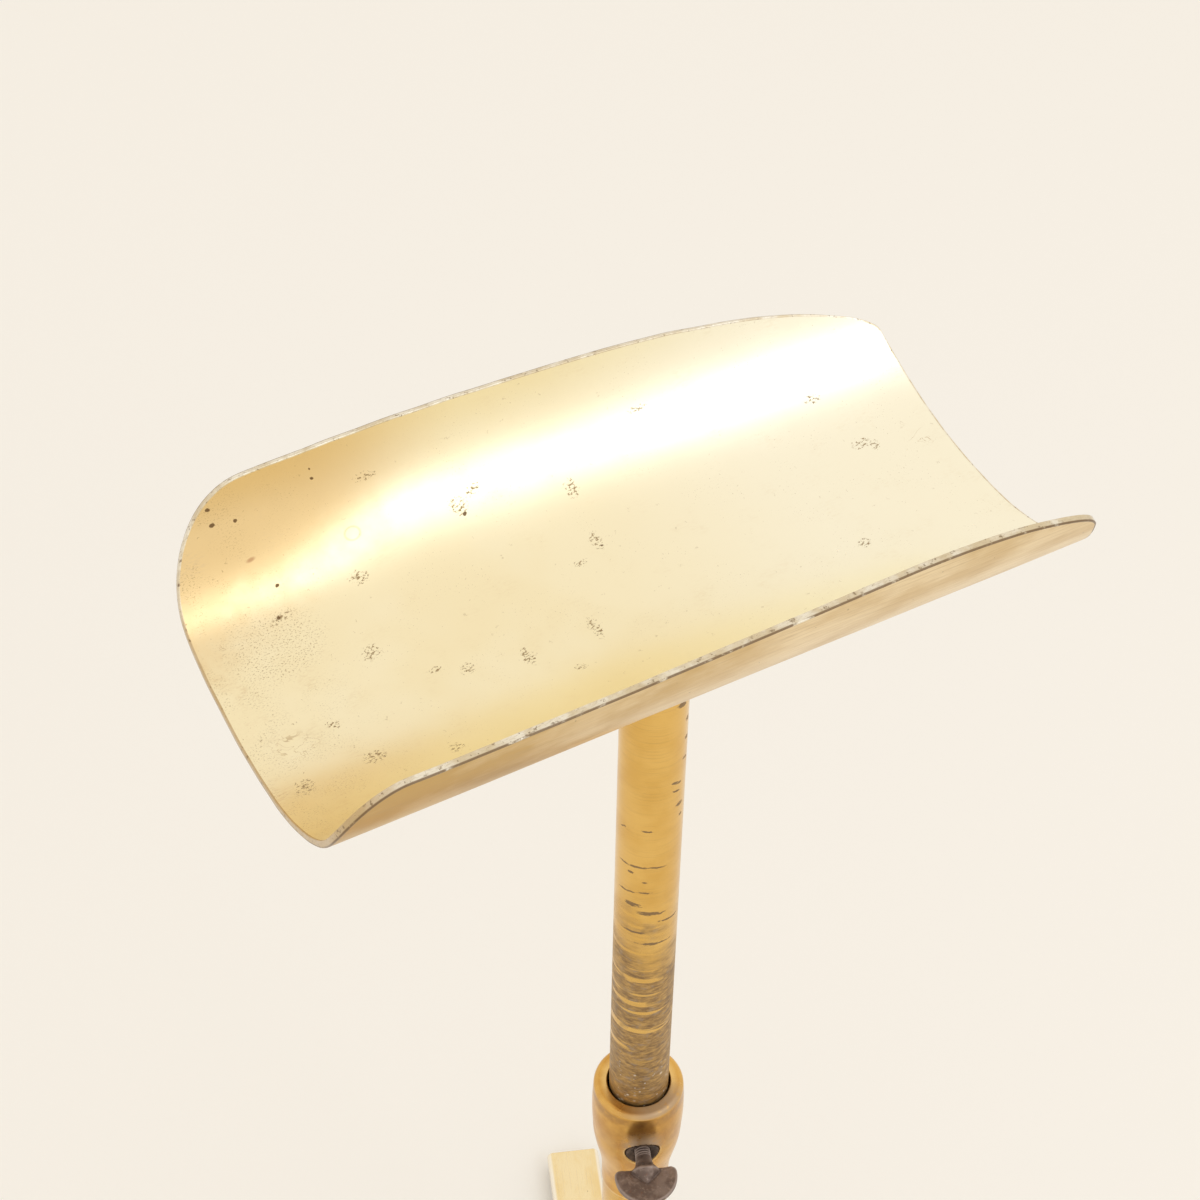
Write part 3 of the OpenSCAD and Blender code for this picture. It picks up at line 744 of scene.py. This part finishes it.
def dark_iron():
    """Hand-forged iron under an old brown patina, scaly, with a painted highlight on its high
    places and painted shade in its creases.
    """
    g = Graph("dark_iron")
    own = g.place()
    scale = g.noise(own, 0.55, 5.0, 0.68)
    blotch = g.noise(own, 0.16, 3.0, 0.6)
    colour = g.blend(g.band(blotch, 0.38, 0.62), (0.165, 0.120, 0.104), (0.265, 0.205, 0.182))
    colour = g.stain(colour, (0.39, 0.315, 0.285), g.band(scale, 0.50, 0.68), 0.6)
    rust = g.product(g.band(g.noise(own, 0.42, 3.0, 0.6), 0.62, 0.74), 0.45)
    colour = g.stain(colour, (0.26, 0.10, 0.045), rust)
    # Painted highlight lightens the high places and painted shade darkens the creases, from
    # the stored curvature.
    curved = g.attribute("curved", "Fac")
    high = g.band(curved, 0.22, 0.62)
    colour = g.stain(colour, (0.42, 0.34, 0.31), high, 0.5)
    colour = g.stain(colour, (0.07, 0.045, 0.038), g.band(curved, -0.04, -0.30), 0.6)
    g.bump(scale, 0.16, 0.7)
    return g.surface(Base_Color=colour, Metallic=g.less(0.72, g.product(rust, 0.5)),
                     Roughness=g.less(0.62, g.product(scale, 0.26)))


def seat_iron():
    """The same iron, kept nearly black as painted shade in its dish."""
    g = Graph("seat_iron")
    own = g.place()
    scale = g.noise(own, 0.7, 5.0, 0.68)
    blotch = g.noise(own, 0.25, 3.0, 0.6)
    # Painted shade: the base colour is nearly black.
    colour = g.blend(g.band(blotch, 0.36, 0.64), (0.045, 0.028, 0.020), (0.13, 0.085, 0.06))
    colour = g.stain(colour, (0.24, 0.15, 0.09), g.band(scale, 0.55, 0.70), 0.5)
    g.bump(scale, 0.15, 0.7)
    return g.surface(Base_Color=colour, Metallic=0.6,
                     Roughness=g.less(0.68, g.product(scale, 0.25)))


def screw_steel():
    g = Graph("screw_steel")
    own = g.place()
    turned = g.grain(own, (1, 1, 4), 0.9, 3.0, 0.6)
    cloud = g.noise(own, 0.2, 3.0, 0.6)
    colour = g.blend(g.band(cloud, 0.4, 0.64), (0.46, 0.44, 0.42), (0.33, 0.30, 0.27))
    rust = g.product(g.band(g.noise(own, 0.5, 3.0, 0.65), 0.60, 0.70), 0.6)
    colour = g.stain(colour, (0.27, 0.13, 0.07), rust)
    g.bump(turned, 0.03, 0.6)
    return g.surface(Base_Color=colour, Metallic=g.less(1.0, rust),
                     Roughness=g.add(g.product(turned, 0.3), 0.22))


def hide(name, dark, light):
    """Vegetable-tanned leather: fine pebbled grain, fibres on its cut sides."""
    g = Graph(name)
    own = g.place()
    pebbles, _ = g.cells(g.stretch(own, (1, 1, 0.6)), 1.5)
    cloud = g.noise(own, 0.16, 4.0, 0.6)
    fibre = g.grain(own, (0.8, 0.8, 3), 1.4, 4.0, 0.7)
    colour = g.blend(g.band(cloud, 0.36, 0.66), dark, light)
    pale = tuple(min(1, c * 1.9) for c in light)
    colour = g.stain(colour, pale, g.band(fibre, 0.55, 0.72), 0.35)
    creases = g.band(pebbles, 0.55, 0.25)
    g.bump(g.add(creases, g.product(fibre, 0.7)), 0.12, 0.7)
    return g.surface(Base_Color=colour, Roughness=g.add(g.product(cloud, 0.25), 0.45))


def pressed_cork():
    g = Graph("pressed_cork")
    own = g.place()
    near, shade = g.cells(own, 0.7)
    pick = g.split(shade)["X"]
    colour = g.blend(pick, (0.50, 0.32, 0.17), (0.66, 0.47, 0.28))
    seams = g.product(g.band(near, 0.45, 0.62), 0.6)
    colour = g.stain(colour, (0.25, 0.14, 0.07), seams)
    g.bump(g.less(g.noise(own, 1.6, 3.0, 0.7), seams), 0.15, 0.8)
    return g.surface(Base_Color=colour, Roughness=0.85)


def turned_wood():
    g = Graph("turned_wood")
    own = g.place((1, 1, 0.08))
    grain = g.noise(own, 0.35, 4.0, 0.6, 0.6)
    pores = g.grain(own, (2.2, 2.2, 1), 0.9, 3.0, 0.7)
    colour = g.blend(g.band(grain, 0.36, 0.64), (0.35, 0.19, 0.09), (0.56, 0.35, 0.18))
    colour = g.stain(colour, (0.17, 0.09, 0.04), g.band(pores, 0.56, 0.70), 0.6)
    g.bump(g.less(grain, pores), 0.06, 0.5)
    return g.surface(Base_Color=colour, Roughness=0.55)


# ---- Trough --------------------------------------------------------------

# The sheet is drawn flat, with x along the trough from its middle and s across it from
# its lowest line, towards the back lip; then it is bent round the trough.
FRONT_GIRTH = 98.6 * MM
BACK_GIRTH = 84.0 * MM
FRONT_LIP = (FRONT_GIRTH, 4.7 * MM, 3.0 * MM)        # girth, lean, bow
BACK_LIP = (BACK_GIRTH, -4.8 * MM, -5.0 * MM)
LEFT_BOW = 1.2 * MM
RIGHT_BOW = -14.0 * MM
BOW_AT = 85.0 * MM
CURL = 3.2 * MM                                      # of the back-left corner
FRONT_LEFT = (20 * MM, 28 * MM)                      # a corner's [along, across] radii
FRONT_RIGHT = (90 * MM, 20 * MM)
BACK_LEFT = (30 * MM, 41 * MM)
BACK_RIGHT = (81 * MM, 17 * MM)
OUTLINE_STEPS = 540
FILL_X = 1.9 * MM                                    # the fill's grid along and across
FILL_S = 1.6 * MM
FILL_COLUMNS = 70
FILL_ROWS = 66
FILL_GAP = 1.1 * MM                                  # kept clear inside the outline
ARRIS = 0.22 * MM                                    # radius of the cut edge's corners
HOLD = 0.35 * MM                                     # flat strip between arris and fill


def corner_arc(side, girth, size, end, steps=40):
    """A round corner of the flat sheet, from its end's edge to its lip."""
    points = []
    for i in range(steps + 1):
        turn = math.pi / 2 * i / steps
        points.append(((TRAY_HALF - size[0] * (1 - math.cos(turn))) * end,
                       (girth - size[1] * (1 - math.sin(turn))) * side))
    return points


def even(points, count):
    """The same line drawn again with count even steps."""
    reach = [0.0]
    for a, b in zip(points, points[1:]):
        reach.append(reach[-1] + math.dist(a, b))
    drawn, k = [], 0
    for i in range(count + 1):
        want = reach[-1] * i / count
        while k < len(points) - 2 and reach[k + 1] < want:
            k += 1
        t = (want - reach[k]) / (reach[k + 1] - reach[k])
        drawn.append((mix(points[k][0], points[k + 1][0], t),
                      mix(points[k][1], points[k + 1][1], t)))
    return drawn


def flat_outline():
    """The flat sheet's outline, once round, from the middle of its left end."""
    front_left = corner_arc(-1, FRONT_GIRTH, FRONT_LEFT, -1)
    front_right = corner_arc(-1, FRONT_GIRTH, FRONT_RIGHT, 1)
    back_left = corner_arc(1, BACK_GIRTH, BACK_LEFT, -1)
    back_right = corner_arc(1, BACK_GIRTH, BACK_RIGHT, 1)
    line = [(-TRAY_HALF, 0), *front_left, *front_right[::-1], (TRAY_HALF, 0),
            *back_right, *back_left[::-1], (-TRAY_HALF, 0)]
    return even(line, OUTLINE_STEPS)[:-1]


def bowed(x, s):
    """A point of the flat sheet once its lips lean and its ends bow."""
    girth, lean, bow = FRONT_LIP if s < 0 else BACK_LIP
    u = x / TRAY_HALF
    across = s * (1 + (lean * u + bow * u * u) / girth)
    end_bow = (LEFT_BOW if u < 0 else RIGHT_BOW) * (across / BOW_AT) ** 2
    return x * (1 + end_bow / TRAY_HALF), across


def hand_cut(x, s):
    """How far the hand-cut outline strays outwards there."""
    wave = noise.noise(Vector((x * 28, s * 28, 3.1)))
    fine = noise.noise(Vector((x * 95, s * 95, 7.7)))
    return (0.42 * wave + 0.16 * fine) * MM


def unevenness(x, s):
    """How far the sheet strays from a true cylinder there: its back-left corner curls in."""
    broad = noise.noise(Vector((x * 11, s * 15, 0.4)))
    small = noise.noise(Vector((x * 38, s * 46, 5.2)))
    curl = CURL * ease((-45 * MM - x) / (70 * MM)) * ease((s - 36 * MM) / (36 * MM))
    return (0.20 * broad + 0.035 * small) * MM - curl


def bend(x, s, depth):
    """The place in the frame of a point of the sheet, at a depth from its inner face."""
    turn = s / TRAY_R
    r = TRAY_R + depth + unevenness(x, s)
    return (x + TRAY_SHIFT, r * math.sin(turn), TRAY_Z + TRAY_R - r * math.cos(turn))


def fill_flat(loop, inward):
    """Triangles over the flat sheet inside a loop, with an even grid of points in it."""
    near = kdtree.KDTree(len(loop))
    for k, p in enumerate(loop):
        near.insert((p.x, p.y, 0), k)
    near.balance()
    points = [p / MM for p in loop]
    for j in range(-FILL_ROWS, FILL_ROWS + 1):
        for i in range(-FILL_COLUMNS, FILL_COLUMNS + 1):
            p = Vector((i * FILL_X, j * FILL_S))
            found, k, gap = near.find((p.x, p.y, 0))
            if gap > FILL_GAP and inward[k].dot(p - found.xy) > 0:
                points.append(p / MM)
    ring = list(range(len(loop)))
    placed, _, faces, origins, _, _ = geometry.delaunay_2d_cdt(points, [], [ring], 1, 1e-4)
    if len(placed) != len(points):
        raise ValueError("the trough's fill has lost or gained points")
    first = [origin[0] for origin in origins]
    return [p * MM for p in points], [[first[k] for k in face] for face in faces]


def trough_points():
    """Points and faces of the trough, with each point's (x, s, depth) on the sheet."""
    outline = [Vector(bowed(*p)) for p in flat_outline()]
    count = len(outline)
    inward = []
    for k in range(count):
        along = (outline[(k + 1) % count] - outline[k - 1]).normalized()
        inward.append(Vector((-along.y, along.x)))
    outline = [p - n * hand_cut(*p) for p, n in zip(outline, inward)]

    # The cut edge's section as (inset, depth), from the inner face to the outer
    section = [(ARRIS + HOLD, 0), (ARRIS, 0)]
    section += [(ARRIS * (1 - math.sin(t)), ARRIS * (1 - math.cos(t)))
                for t in (math.pi / 6, math.pi / 3, math.pi / 2)]
    section += [(0, ARRIS * 1.5), (0, SHEET * 0.5)]
    section += [(inset, SHEET - depth) for inset, depth in section[-2::-1]]
    sheet = []
    for inset, depth in section:
        for p, n in zip(outline, inward):
            q = p + n * inset
            sheet.append((q.x, q.y, depth))
    faces = band_faces(len(section), count)
    rim_faces = len(faces)
    loop = [p + n * section[0][0] for p, n in zip(outline, inward)]
    flat, triangles = fill_flat(loop, inward)
    for ring, depth in ((0, 0), (len(section) - 1, SHEET)):
        extra = len(sheet) - count
        sheet += [(p.x, p.y, depth) for p in flat[count:]]
        faces += [[ring * count + k if k < count else extra + k for k in face]
                  for face in triangles]
    return sheet, faces, rim_faces, len(triangles)


def make_trough():
    sheet, faces, rim_faces, inner_faces = trough_points()
    mesh = tidy_mesh("trough", [bend(*p) for p in sheet], faces)
    store(mesh, "sheet_mm", [[value / MM for value in place] for place in sheet])
    for k, face in enumerate(mesh.polygons):
        if k < rim_faces:
            face.material_index = 1
        elif k >= rim_faces + inner_faces:
            face.material_index = 2
    materials = [gilt_inside(), gilt_edge(), gilt_outside()]
    make_piece("trough", mesh, materials, "post", "gilt_sheet", "tray")


# ---- Collar --------------------------------------------------------------

COLLAR_R = (COLLAR_HIGH.x - COLLAR_LOW.x) / 2
COLLAR_H = COLLAR_HIGH.z - COLLAR_LOW.z
FIXED_R = (FIXED_HIGH.x - FIXED_LOW.x) / 2
SEAT_R = 6.25 * MM
SEAT_DEPTH = 13.2 * MM             # of the seat's floor, from the post's axis
BELLY = 0.4 * MM


def collar_outside():
    """The collar's outside as (radius, height), from its foot to the top of its rim."""
    drum = COLLAR_R - BELLY
    foot = FIXED_R + 0.4 * MM
    rim = 2.2 * MM
    taper = (COLLAR_H - 57 * MM, COLLAR_H - 25 * MM)
    line = arc((foot - 0.25 * MM, 0.25 * MM), 0.25 * MM, -90, 0, 4)
    rows = 12
    line += [(foot, taper[0] * i / rows) for i in range(2, rows)]
    rows = 80
    line += [(mix(foot, drum, ease(i / rows)), mix(*taper, i / rows)) for i in range(rows)]
    rows = 34
    line += [(drum + BELLY * math.sin(math.pi * i / rows),
              mix(taper[1], COLLAR_H - rim, i / rows)) for i in range(rows)]
    line += arc((drum - rim, COLLAR_H - rim), rim, 0, 90, 12)
    return line


def collar_inside():
    """The rest of its section: the rounded mouth, the bore and the socket."""
    bore = TUBE_R + 0.05 * MM
    mouth = TUBE_R + 0.6 * MM
    lip = 0.6 * MM
    socket = 31 * MM
    line = arc((mouth + lip, COLLAR_H - lip), lip, 90, 180, 6)
    line += [(mouth, COLLAR_H - 4 * MM), (bore + 0.3 * MM, COLLAR_H - 4.2 * MM),
             (bore, COLLAR_H - 4.6 * MM), (bore, mix(socket, COLLAR_H, 0.4)),
             (bore, socket + 0.2 * MM), (bore + 0.2 * MM, socket), (FIXED_R, socket),
             (FIXED_R, socket * 0.5), (FIXED_R, 0.15 * MM)]
    return line


def seated(angle, r, z):
    """The collar's radius there once the seat of the thumb screw is sunk into it."""
    turn = angle - SCREW_AZIMUTH
    turn = (turn + math.pi) % (2 * math.pi) - math.pi
    if abs(turn) > math.radians(60):
        return r
    away = math.hypot(r * math.sin(turn), COLLAR_LOW.z + z - SCREW_AT.z)
    sunk = ease((SEAT_R + 0.75 * MM - away) / (0.85 * MM))
    return mix(r, min(r, SEAT_DEPTH / math.cos(turn)), sunk)


def make_collar():
    outside, inside = collar_outside(), collar_inside()
    profile = outside + inside + outside[:1]
    sunk_below = COLLAR_H - 5 * MM

    def wobble(angle, r, z):
        on_outside = r > FIXED_R + 0.2 * MM and z < sunk_below
        place = Vector((math.cos(angle) * 2, math.sin(angle) * 2, z * 160))
        rough = 0.05 * MM * noise.noise(place)
        return seated(angle, r, z) + rough if on_outside else r

    mesh = lathe("collar_casting", profile, 380, wobble)
    mesh.transform(Matrix.Translation((0, 0, COLLAR_LOW.z)))
    mark_curvature(mesh)
    make_piece("collar_casting", mesh, [collar_brass()], "base", "cast_brass", "collar")


def outside_radius(z):
    """The collar's outside radius at a height in the frame, clear of its rim."""
    up = z - COLLAR_LOW.z
    line = collar_outside()
    for (r0, z0), (r1, z1) in zip(line, line[1:]):
        if z0 <= up < z1:
            return mix(r0, r1, (up - z0) / (z1 - z0))
    return COLLAR_R - BELLY


def make_seat():
    """The iron seat let into the collar: a ring that dishes in towards the screw."""
    back, hole, edge = 12.4 * MM, 3.25 * MM, SEAT_R - 0.02 * MM
    columns, rows = 96, 12
    dish = [(mix(edge, hole, i / rows), 0.25 * MM + 1.5 * MM * ease(i / rows) ** 1.2)
            for i in range(rows + 1)]
    dish.insert(0, (edge, 0.6 * MM))
    rings = []
    for away, depth in dish:
        ring = []
        for turn in turns(columns):
            across, up = away * math.cos(turn), away * math.sin(turn)
            outside = outside_radius(SCREW_AT.z + up)
            ring.append((-up, across, math.sqrt(outside ** 2 - across ** 2) - depth))
        rings.append(ring)
    for away in (hole, edge):
        rings.append([(-away * math.sin(turn), away * math.cos(turn), back)
                      for turn in turns(columns)])
    rings.append(rings[0])
    points = [p for ring in rings[:-1] for p in ring]
    total = len(points)
    faces = [[k % total for k in face] for face in band_faces(len(rings), columns)]
    mesh = tidy_mesh("iron_seat", points, faces)
    mesh.transform(SCREW_TURN)
    make_piece("iron_seat", mesh, [seat_iron()], "base", "dark_iron", "screw_bush")


# ---- Thumb screw ---------------------------------------------------------

SHANK_R = 3.0 * MM
PITCH = 1.0 * MM
TIP_AT = 12.23 * MM                # distances along the screw, from the post's axis
SHOULDER_AT = 17.5 * MM
HEAD_AT = 23.2 * MM
HEAD_W = 23.4 * MM
HEAD_L = 14.5 * MM
SCREW_TURN = Matrix.Translation((0, 0, SCREW_AT.z)) @ \
    Matrix.Rotation(SCREW_AZIMUTH, 4, "Z") @ Matrix.Rotation(math.pi / 2, 4, "Y")


def threaded_shank():
    """A shank along Z with a rounded helical thread."""
    rows, columns = 74, 56
    rings = []
    end = SHOULDER_AT + 1.2 * MM
    for k in range(rows + 1):
        z = mix(TIP_AT, end, k / rows)
        ring = []
        for i in range(columns):
            angle = 2 * math.pi * i / columns
            phase = (z / PITCH - i / columns) % 1
            groove = 0.5 + 0.5 * math.cos(2 * math.pi * phase)
            tip = ease((z - TIP_AT) / (0.6 * MM)) * 0.25 + 0.75
            r = (SHANK_R - 0.03 * MM - 0.58 * MM * groove ** 1.4) * tip
            ring.append((r * math.cos(angle), r * math.sin(angle), z))
        rings.append(ring)
    return skin("shank", rings)


def head_outline():
    """The half-moon head as (across, out) points, from one blunt horn round to the other."""
    half, horn, steps = HEAD_W / 2, 2.3 * MM, 40
    top = [(half * math.cos(math.pi * i / steps), horn + (HEAD_L - horn) *
            math.sin(math.pi * i / steps)) for i in range(1, steps)]
    right = arc((half - horn, horn), horn, 255, 360, 8)
    left = arc((-half + horn, horn), horn, 180, 285, 8)
    dip = 0.35 * MM
    chord = [(-6.5 * MM, dip), (-4 * MM, 0.9 * dip), (4 * MM, 0.9 * dip), (6.5 * MM, dip)]
    return [(x, HEAD_AT + y) for x, y in chord + right + top + left]


def forged_head():
    """Cone, neck and half-moon plate, forged into one and softened."""
    parts = bmesh.new()
    half_thick = 1.25 * MM
    line = head_outline()
    for side in (-1, 1):
        for x, z in line:
            parts.verts.new((side * half_thick, x, z))
    parts.verts.ensure_lookup_table()
    n = len(line)
    parts.faces.new([parts.verts[i] for i in range(n)])
    parts.faces.new([parts.verts[n + i] for i in range(n)][::-1])
    for i in range(n):
        j = (i + 1) % n
        parts.faces.new([parts.verts[k] for k in (i, j, n + j, n + i)])
    # The cone and neck as (radius, distance out), in millimetres
    neck = [(2.6, 17.0), (2.95, 18.4), (3.2, 20.0), (3.55, 21.6), (4.3, 23.0), (5.2, 24.2),
            (5.3, 25.0), (4.2, 26.2), (2.8, 27.6), (1.6, 29.2), (0.8, 30.6)]
    cone = [(r * MM, z * MM) for r, z in neck]
    parts.from_mesh(lathe("cone", cone, 48))
    bmesh.ops.recalc_face_normals(parts, faces=parts.faces)
    mesh = bpy.data.meshes.new("head")
    parts.to_mesh(mesh)
    parts.free()
    piece = bpy.data.objects.new("head", mesh)
    bpy.context.scene.collection.objects.link(piece)
    remesh = piece.modifiers.new("join", "REMESH")
    remesh.mode = "VOXEL"
    remesh.voxel_size = 0.32 * MM
    soften = piece.modifiers.new("soften", "SMOOTH")
    soften.factor = 0.5
    soften.iterations = 5
    settled(piece)
    for vertex in piece.data.vertices:
        place = vertex.co / MM
        dent = noise.noise(place * 0.22) * 0.16 + noise.noise(place * 0.6) * 0.05
        vertex.co += vertex.normal * dent * MM
    done = piece.data
    bpy.data.objects.remove(piece)
    return done


def make_thumb_screw():
    whole = bmesh.new()
    whole.from_mesh(forged_head())
    whole.from_mesh(threaded_shank())
    mesh = bpy.data.meshes.new("forged_screw")
    whole.to_mesh(mesh)
    whole.free()
    mesh.transform(SCREW_TURN)
    mark_curvature(mesh)
    make_piece("forged_screw", mesh, [dark_iron()], "screw", "dark_iron", "thumb_screw")


# ---- Legs and feet -------------------------------------------------------

LEG_COUNT = 3
LEG_AZIMUTH = 69
LEG_LOW, LEG_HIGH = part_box("leg_1")
LEG_W = 26 * MM
LEG_T = 10 * MM
LEG_FOOT_Z = LEG_LOW.z + LEG_T / 2
LEG_TOP_Z = LEG_HIGH.z - LEG_T / 2
LEG_SLOPE = math.radians(42)
LEG_BEND_TOP = 45 * MM
LEG_BEND_FOOT = 60 * MM
LEG_STRAIGHT = 32 * MM
TENON_R = 16 * MM
LEG_LEVEL_R = 34 * MM
LEG_REACH = 181 * MM
LEG_EDGE = 3 * MM
LEG_END_ROUND = 1.2 * MM


def leg_stations():
    """Stations along a leg as (out, up, slope), as the CAD has them but closer."""
    stations = [(mix(TENON_R, LEG_LEVEL_R, i / 6), LEG_TOP_Z, 0.0) for i in range(6)]
    bends = 22
    for i in range(bends + 1):
        t = LEG_SLOPE * i / bends
        stations.append((LEG_LEVEL_R + LEG_BEND_TOP * math.sin(t),
                         LEG_TOP_Z - LEG_BEND_TOP * (1 - math.cos(t)), t))
    bend_end = (LEG_LEVEL_R + (LEG_BEND_TOP + LEG_BEND_FOOT) * math.sin(LEG_SLOPE) +
                LEG_STRAIGHT * math.cos(LEG_SLOPE))
    start = stations[-1]
    foot = [(bend_end - LEG_BEND_FOOT * math.sin(t),
             LEG_FOOT_Z + LEG_BEND_FOOT * (1 - math.cos(t)), t)
            for t in (LEG_SLOPE * (1 - i / bends) for i in range(bends + 1))]
    stations += [tuple(mix(a, b, i / 8) for a, b in zip(start, foot[0])) for i in range(1, 8)]
    stations += foot
    flat_end = LEG_REACH - LEG_END_ROUND
    stations += [(mix(bend_end, flat_end, i / 12), LEG_FOOT_Z, 0.0) for i in range(1, 13)]
    return stations


def bar_ring(width, thick, edge, steps=7):
    ring = []
    for corner in range(4):
        x = (width / 2 - edge) * (1 if corner in (0, 3) else -1)
        y = (thick / 2 - edge) * (1 if corner < 2 else -1)
        ring += arc((x, y), edge, corner * 90, corner * 90 + 90, steps)
    return ring


def make_leg(number, material):
    sections = [(station, 0.0) for station in leg_stations()]
    steps = 5
    for i in range(1, steps + 1):
        t = math.pi / 2 * i / steps
        out = LEG_REACH - LEG_END_ROUND * (1 - math.sin(t))
        sections.append(((out, LEG_FOOT_Z, 0.0), LEG_END_ROUND * (1 - math.cos(t))))
    turn = math.radians(LEG_AZIMUTH + 360 / LEG_COUNT * (number - 1))
    swing = Matrix.Rotation(turn, 3, "Z")
    rings, flat = [], []
    for (out, up, slope), inset in sections:
        ring = []
        for across, rise in bar_ring(LEG_W - 2 * inset, LEG_T - 2 * inset,
                                     max(LEG_EDGE - inset, 0.5 * MM)):
            spot = Vector((out * 40, across * 60, rise * 60 + number))
            dent = 0.06 * MM * noise.noise(spot)
            place = Vector((out + rise * math.sin(slope), across,
                            up + rise * math.cos(slope) - abs(dent)))
            ring.append(swing @ place)
            flat.append((out / MM, across / MM, rise / MM))
        rings.append(ring)
    mesh = skin("leg_bar_%d" % number, rings)
    flat += [(TENON_R / MM, 0, 0), (LEG_REACH / MM, 0, 0)]
    store(mesh, "leg_mm", flat)
    make_piece("leg_bar_%d" % number, mesh, [material], "base", "leg_brass",
               "leg_%d" % number)


def make_foot(number, material):
    """A stout leather disc, rounded by wear, with a slight ripple round its edge."""
    low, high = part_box("foot_pad_%d" % number)
    radius = (high.x - low.x) / 2
    thick = high.z - low.z
    edge = 0.8 * MM
    profile = [(radius * i / 10, 0.0) for i in range(1, 9)]
    profile += arc((radius - edge, edge), edge, -90, -20, 6)
    profile += arc((radius - edge, thick - edge), edge, 20, 90, 6)
    profile += [(radius * i / 10, thick) for i in range(8, 0, -1)]

    def wobble(angle, r, z):
        ripple = noise.noise(Vector((math.cos(angle) * 1.5, math.sin(angle) * 1.5,
                                     number + z * 300)))
        return r * (1 + 0.012 * ripple)

    mesh = lathe("foot_leather_%d" % number, profile, 88, wobble)
    middle = (low + high) / 2
    mesh.transform(Matrix.Translation((middle.x, middle.y, low.z)))
    make_piece("foot_leather_%d" % number, mesh, [material], "base", "foot_leather",
               "foot_pad_%d" % number)


# ---- CAD nodes that keep their own shape ---------------------------------

def dress_nodes():
    cast = cast_brass()
    bush = bush_brass()
    steel = screw_steel()
    dress = {"inner_tube": sliding_brass(), "outer_tube": fixed_brass(),
             "tray_saddle": cast, "hub": cast, "hub_nut": cast,
             "seat_washer": bush, "top_bush": bush, "end_bush": bush,
             "guide_plug": bush, "clamp_pad": bush, "plug_screw": steel,
             "leg_screws": steel,
             "guide_leather": hide("oiled_hide", (0.20, 0.10, 0.045), (0.31, 0.17, 0.085)),
             "buffer_cork": pressed_cork(), "bottom_plug": turned_wood()}
    for node, material in dress.items():
        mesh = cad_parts[node].data
        mesh.materials.clear()
        mesh.materials.append(material)


make_camera()
make_stage()
make_light()
make_trough()
make_collar()
make_seat()
make_thumb_screw()
leg_metal = leg_brass()
foot_hide = hide("worn_hide", (0.075, 0.045, 0.030), (0.14, 0.085, 0.055))
for number in range(1, LEG_COUNT + 1):
    make_leg(number, leg_metal)
    make_foot(number, foot_hide)
dress_nodes()
